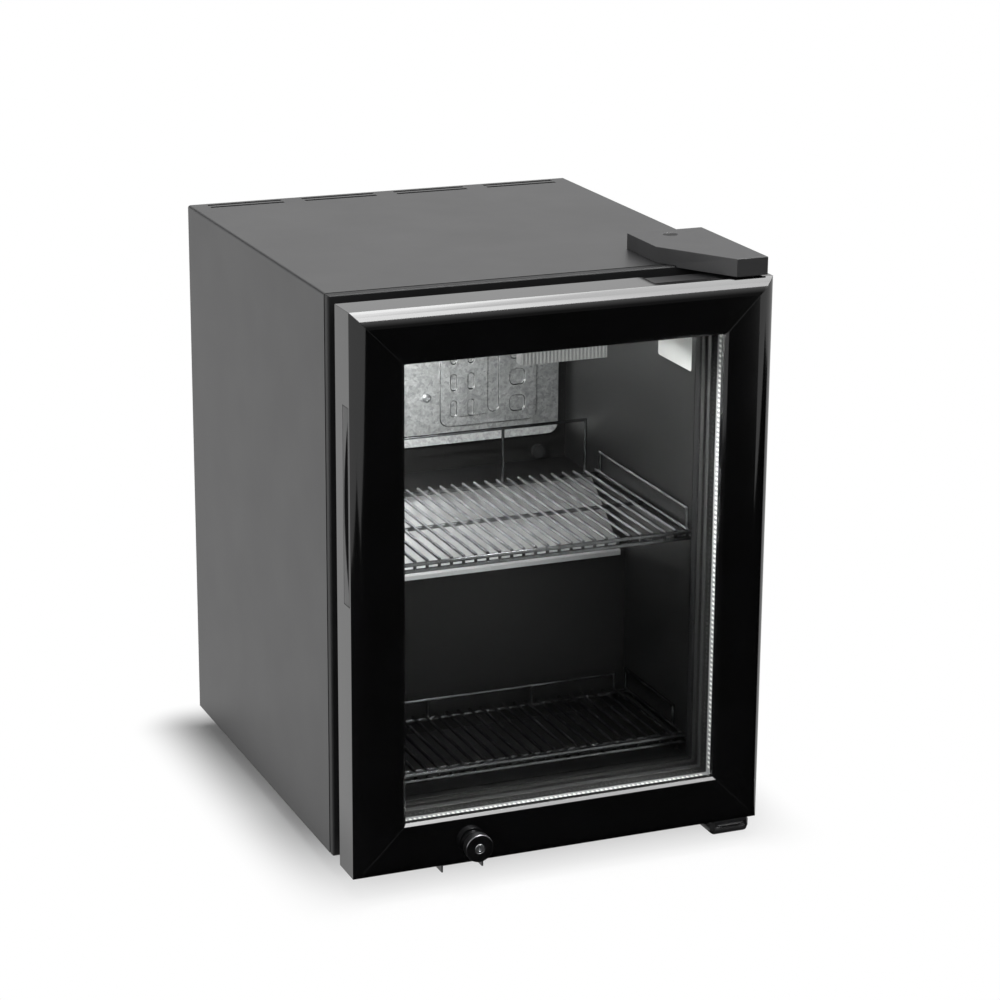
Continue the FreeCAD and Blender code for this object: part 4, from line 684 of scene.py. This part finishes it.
# %% Rows of holes in the spacer
hole_radius, disc_depth = 0.0012, 0.0002
bpy.ops.object.select_all(action="DESELECT")
bpy.ops.mesh.primitive_cylinder_add(vertices=12, radius=hole_radius, depth=disc_depth,
                                    location=(0, 0, 0))
hole = bpy.context.object
hole.scale = (1, 1.9, 1)
settle()
hole.data.materials.append(bead_white)

for side, count, place, turn in rows:
    line = twin(hole, f"spacer_holes_{side}")
    row = line.modifiers.new("row of holes", "ARRAY")
    row.count = count
    row.use_relative_offset = False
    row.use_constant_offset = True
    row.constant_offset_displace = (hole_pitch, 0, 0)
    bpy.ops.object.modifier_apply(modifier=row.name)
    line.location = place
    line.rotation_euler = turn
    settle()
    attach(line, "door")
bpy.data.objects.remove(hole, do_unlink=True)
print("holes:", 2 * (tall + wide))

# %% [markdown]
# ## Floor and backdrop
# The fridge was photographed on a white sweep that ends in pure white, with a soft
# shadow close to it. The floor is a pale matt surface near the fridge and fades to
# plain white a little way off, where the white of the world takes over.

# %% Pale floor finish
footprint = (0.19, 0.215, 0)
floor_white = finish_of("white_paper_sweep", "#D4D4D4", 0.8, Specular_IOR_Level=0.2)
place = add(floor_white, "ShaderNodeTexCoord")
corner = add(floor_white, "ShaderNodeVectorMath", {"operation": "ABSOLUTE"},
             {0: place.outputs["Object"]})
outside = add(floor_white, "ShaderNodeVectorMath", {"operation": "SUBTRACT", 1: footprint},
              {0: corner.outputs["Vector"]})
beyond = add(floor_white, "ShaderNodeVectorMath", {"operation": "MAXIMUM", 1: (0, 0, 0)},
             {0: outside.outputs["Vector"]})
away = add(floor_white, "ShaderNodeVectorMath", {"operation": "LENGTH"},
           {0: beyond.outputs["Vector"]})
fade = add(floor_white, "ShaderNodeMapRange",
           {"interpolation_type": "SMOOTHSTEP", "From Min": -0.01, "From Max": 0.07},
           {"Value": away.outputs["Value"]})
parts = add(floor_white, "ShaderNodeSeparateXYZ", links={"Vector": place.outputs["Object"]})
# In front, the white starts at the fridge's edge and lightens the floor's shadow there: painted
# light.
front = add(floor_white, "ShaderNodeMapRange",
            {"interpolation_type": "SMOOTHSTEP", "From Min": -0.02, "From Max": -0.3},
            {"Value": parts.outputs["Y"]})
# The floor's colour darkens towards the back, near the fridge: painted shadow there, before the
# white takes over.
back_shadow_tone = add(floor_white, "ShaderNodeMapRange",
           {"From Min": 0.0, "From Max": 0.2, "To Min": 0.66, "To Max": 0.3},
           {"Value": parts.outputs["Y"]})
feed(floor_white, "Base Color", back_shadow_tone.outputs["Result"])
lifted = add(floor_white, "ShaderNodeMapRange", {},
             {"Value": fade.outputs["Result"], "To Min": front.outputs["Result"]})
print("floor finish:", floor_white.name, len(floor_white.node_tree.nodes), "nodes so far")

# %% [markdown]
# The white that the floor fades to is a light of strength one. The camera sees it, and
# so do rays that come off a mirror or through the glass, but it lights nothing.

# %% White that only shows
rays = add(floor_white, "ShaderNodeLightPath")
mirrored = add(floor_white, "ShaderNodeMath", {"operation": "MAXIMUM"},
               {0: rays.outputs["Is Glossy Ray"], 1: rays.outputs["Is Transmission Ray"]})
seen = add(floor_white, "ShaderNodeMath", {"operation": "MAXIMUM"},
           {0: rays.outputs["Is Camera Ray"], 1: mirrored.outputs["Value"]})
share = add(floor_white, "ShaderNodeMath", {"operation": "MULTIPLY"},
            {0: seen.outputs["Value"], 1: lifted.outputs["Result"]})
white = add(floor_white, "ShaderNodeEmission", {"Color": (1, 1, 1, 1), "Strength": 1.0})
floor_nodes = floor_white.node_tree.nodes
both = add(floor_white, "ShaderNodeMixShader", {}, {
    "Fac": share.outputs["Value"], 1: floor_nodes["Principled BSDF"].outputs["BSDF"],
    2: white.outputs["Emission"]})
floor_white.node_tree.links.new(
    both.outputs["Shader"], floor_nodes["Material Output"].inputs["Surface"])
bpy.ops.object.select_all(action="DESELECT")
bpy.ops.mesh.primitive_plane_add(size=9, location=(0, 0, 0))
floor = bpy.context.object
floor.name = "paper_sweep"
floor.data.materials.append(floor_white)
print("floor:", tuple(round(v, 1) for v in floor.dimensions))

# %% [markdown]
# ## Light
# A black, shiny thing is lit by what it reflects. A wide soft box overhead gives the
# top its even grey, a second one on the left lights the side, and a third one in front
# lights the door and what is behind the glass.

# %% Soft boxes
def soft_box(name, place, target, size, watts):
    """A rectangular area lamp aimed at a point."""
    bpy.ops.object.select_all(action="DESELECT")
    bpy.ops.object.light_add(type="AREA", location=place)
    lamp = bpy.context.object
    lamp.name = name
    lamp.data.shape = "RECTANGLE"
    lamp.data.size, lamp.data.size_y = size
    lamp.data.energy = watts
    aim = Vector(target) - Vector(place)
    lamp.rotation_euler = aim.to_track_quat("-Z", "Y").to_euler()
    return lamp

soft_box("overhead_soft_box", (0.1, 0.1, 2.1), (0, 0, 0.3), (1.8, 1.6), 22)
soft_box("left_soft_box", (-2.2, -0.5, 1.0), (0, 0, 0.3), (1.4, 1.8), 22)
soft_box("front_soft_box", (-1.0, -3.4, 2.2), (0, 0, 0.3), (2.0, 1.4), 22)

# %% [markdown]
# A small lamp under the clear cover lights the shelves, and two small ones at the left
# bring up the cold plate and the sheet. The camera doesn't see them.

# %% Lamps in the cabin
lens_low, lens_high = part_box("lamp_cover")
lamp_x, lamp_y = (lens_low.x + lens_high.x) / 2, (lens_low.y + lens_high.y) / 2
below_lens = 0.003
cabin_lights = (
    soft_box("cabin_lamp", (lamp_x, lamp_y, lens_low.z - below_lens),
             (lamp_x, lamp_y + 0.04, 0), (0.07, 0.015), 0.9),
    soft_box("cabin_fill", (-0.09, -0.02, 0.42), (-0.08, 0.14, 0.37), (0.03, 0.03), 1.1),
    soft_box("cabin_corner", (-0.125, 0.05, 0.4), (-0.08, 0.14, 0.33), (0.02, 0.02), 0.4),
)
for light in cabin_lights:
    light.visible_camera = False
    light.visible_transmission = False
print("cabin lamps:", [light.name for light in cabin_lights])

# %% [markdown]
# The world is a grey light all round. The camera, mirrors and glass see it as white,
# which gives the plain background.

# %% White background
grey_light = (0.35, 0.35, 0.35, 1)
world = bpy.data.worlds.new("white_studio")
bpy.context.scene.world = world
world.use_nodes = True
world_nodes = world.node_tree.nodes
world_nodes["Background"].inputs["Color"].default_value = grey_light
rays = add(world, "ShaderNodeLightPath")
mirrored = add(world, "ShaderNodeMath", {"operation": "MAXIMUM"},
               {0: rays.outputs["Is Glossy Ray"], 1: rays.outputs["Is Transmission Ray"]})
seen = add(world, "ShaderNodeMath", {"operation": "MAXIMUM"},
           {0: rays.outputs["Is Camera Ray"], 1: mirrored.outputs["Value"]})
bright = add(world, "ShaderNodeBackground", {"Color": (1, 1, 1, 1), "Strength": 1.0})
sky = add(world, "ShaderNodeMixShader", {}, {
    "Fac": seen.outputs["Value"], 1: world_nodes["Background"].outputs["Background"],
    2: bright.outputs["Background"]})
world.node_tree.links.new(sky.outputs["Shader"], world_nodes["World Output"].inputs["Surface"])
bpy.context.scene.view_settings.view_transform = "Standard"
print("world:", world.name, "view:", bpy.context.scene.view_settings.view_transform)

# %% [markdown]
# Cards stand in for the dark half of the studio and for the big window of light over it,
# as a photographer would set them up round a shiny thing with a glass front.
# Dark ones are on the floor in front, behind the camera, where they get lighter with
# height, and behind the fridge for the dark line along its top edge. White floor left
# and right of them draws the soft wedges down the two upright rails. Bright ones high up
# in front draw the band along the top rail, which is whitest on the left. Only surfaces
# outside the cabin mirror them: a ray that went in through both panes and out again has
# crossed eight faces of glass, so one that has crossed fewer than seven is outside.

# %% Cards for the reflections
faces_crossed = 7.0

def card(name, place, size, turns, along=(0, 1), reach=(0, 1), levels=(0, 0)):
    """A card whose light changes along one direction, from one level to the other."""
    material = finish_of(name, "#000000", 0.9, Specular_IOR_Level=0.0, Emission_Color=(1, 1, 1, 1))
    rays = add(material, "ShaderNodeLightPath")
    outside = add(material, "ShaderNodeMath", {"operation": "LESS_THAN", 1: faces_crossed},
                  {0: rays.outputs["Transmission Depth"]})
    shown = add(material, "ShaderNodeMath", {"operation": "MULTIPLY"},
                {0: rays.outputs["Glossy Depth"], 1: outside.outputs["Value"]})
    feed(material, "Alpha", shown.outputs["Value"])
    spot = add(material, "ShaderNodeTexCoord")
    metres = add(material, "ShaderNodeVectorMath",
                 {"operation": "DOT_PRODUCT", 1: (along[0] * size[0], along[1] * size[1], 0)},
                 {0: spot.outputs["Object"]})
    falling = add(material, "ShaderNodeMapRange",
                  {"From Min": reach[0], "From Max": reach[1],
                   "To Min": levels[0], "To Max": levels[1]},
                  {"Value": metres.outputs["Value"]})
    feed(material, "Emission Strength", falling.outputs["Result"])
    bpy.ops.object.select_all(action="DESELECT")
    bpy.ops.mesh.primitive_plane_add(size=1, location=place, rotation=turns)
    sheet = bpy.context.object
    sheet.name = name
    sheet.scale = (size[0], size[1], 1)
    sheet.data.materials.append(material)
    sheet.visible_camera = False
    sheet.visible_diffuse = False
    sheet.visible_shadow = False

print("recipe for the cards:", card.__name__)

# %% [markdown]
# Each card has its place, its size and its turn in metres and radians. The bright ones
# also have the direction along which their light changes, the stretch over which it
# does, and its two levels.

# %% Place the cards
standing, flat, facing_down = (quarter, 0, 0), (0, 0, 0), (math.pi, 0, 0)
sight_turn = (0, 0, math.radians(27.1))
card("near_floor_card", (0.42, -0.65, 0.003), (2.94, 0.9), flat)
card("far_floor_card", (0.545, -2.156, 0.004), (1.19, 2.9), sight_turn)
card("back_card", (-1.3, 3.0, 1.7), (1.6, 1.5), standing)
card("front_card", (0.6, -3.1, 0.8), (5.0, 2.8), standing, (0, 1), (-0.2, 1.4), (0.12, 1.6))
card("front_window", (1.3, -3.0, 3.15), (2.4, 1.9), standing,
     (1, -0.22), (0.16, 0.55), (17.5, 12.0))
card("ceiling_window", (1.6, -1.1, 4.1), (2.4, 3.8), facing_down,
     (1, 0), (-0.32, 0.04), (17.0, 11.0))

# %% [markdown]
# ## Camera
# The photograph was taken from above and to the left with a long lens. The camera's
# place and its three angles come from fitting the corners of the cabinet and the
# door, and the roll is well under a degree.

# %% Camera
yaw, pitch, roll = math.radians(22.4535), math.radians(17.022), math.radians(0.381)
camera_place = (-0.98349, -2.45522, 1.08117)
lens_mm, sensor_mm, farthest = 109.92, 36, 50
ahead = Vector((math.sin(yaw) * math.cos(pitch), math.cos(yaw) * math.cos(pitch),
                -math.sin(pitch)))
level = Vector((math.cos(yaw), -math.sin(yaw), 0))
above = level.cross(ahead)
right = math.cos(roll) * level + math.sin(roll) * above
up = -math.sin(roll) * level + math.cos(roll) * above
facing = Matrix((right, up, -ahead)).transposed().to_euler()
bpy.ops.object.select_all(action="DESELECT")
bpy.ops.object.camera_add(location=camera_place, rotation=facing)
camera = bpy.context.object
camera.data.sensor_width = sensor_mm
camera.data.lens = lens_mm
camera.data.clip_end = farthest
bpy.context.scene.camera = camera
print("camera:", tuple(round(v, 3) for v in camera.location), "lens:", camera.data.lens)
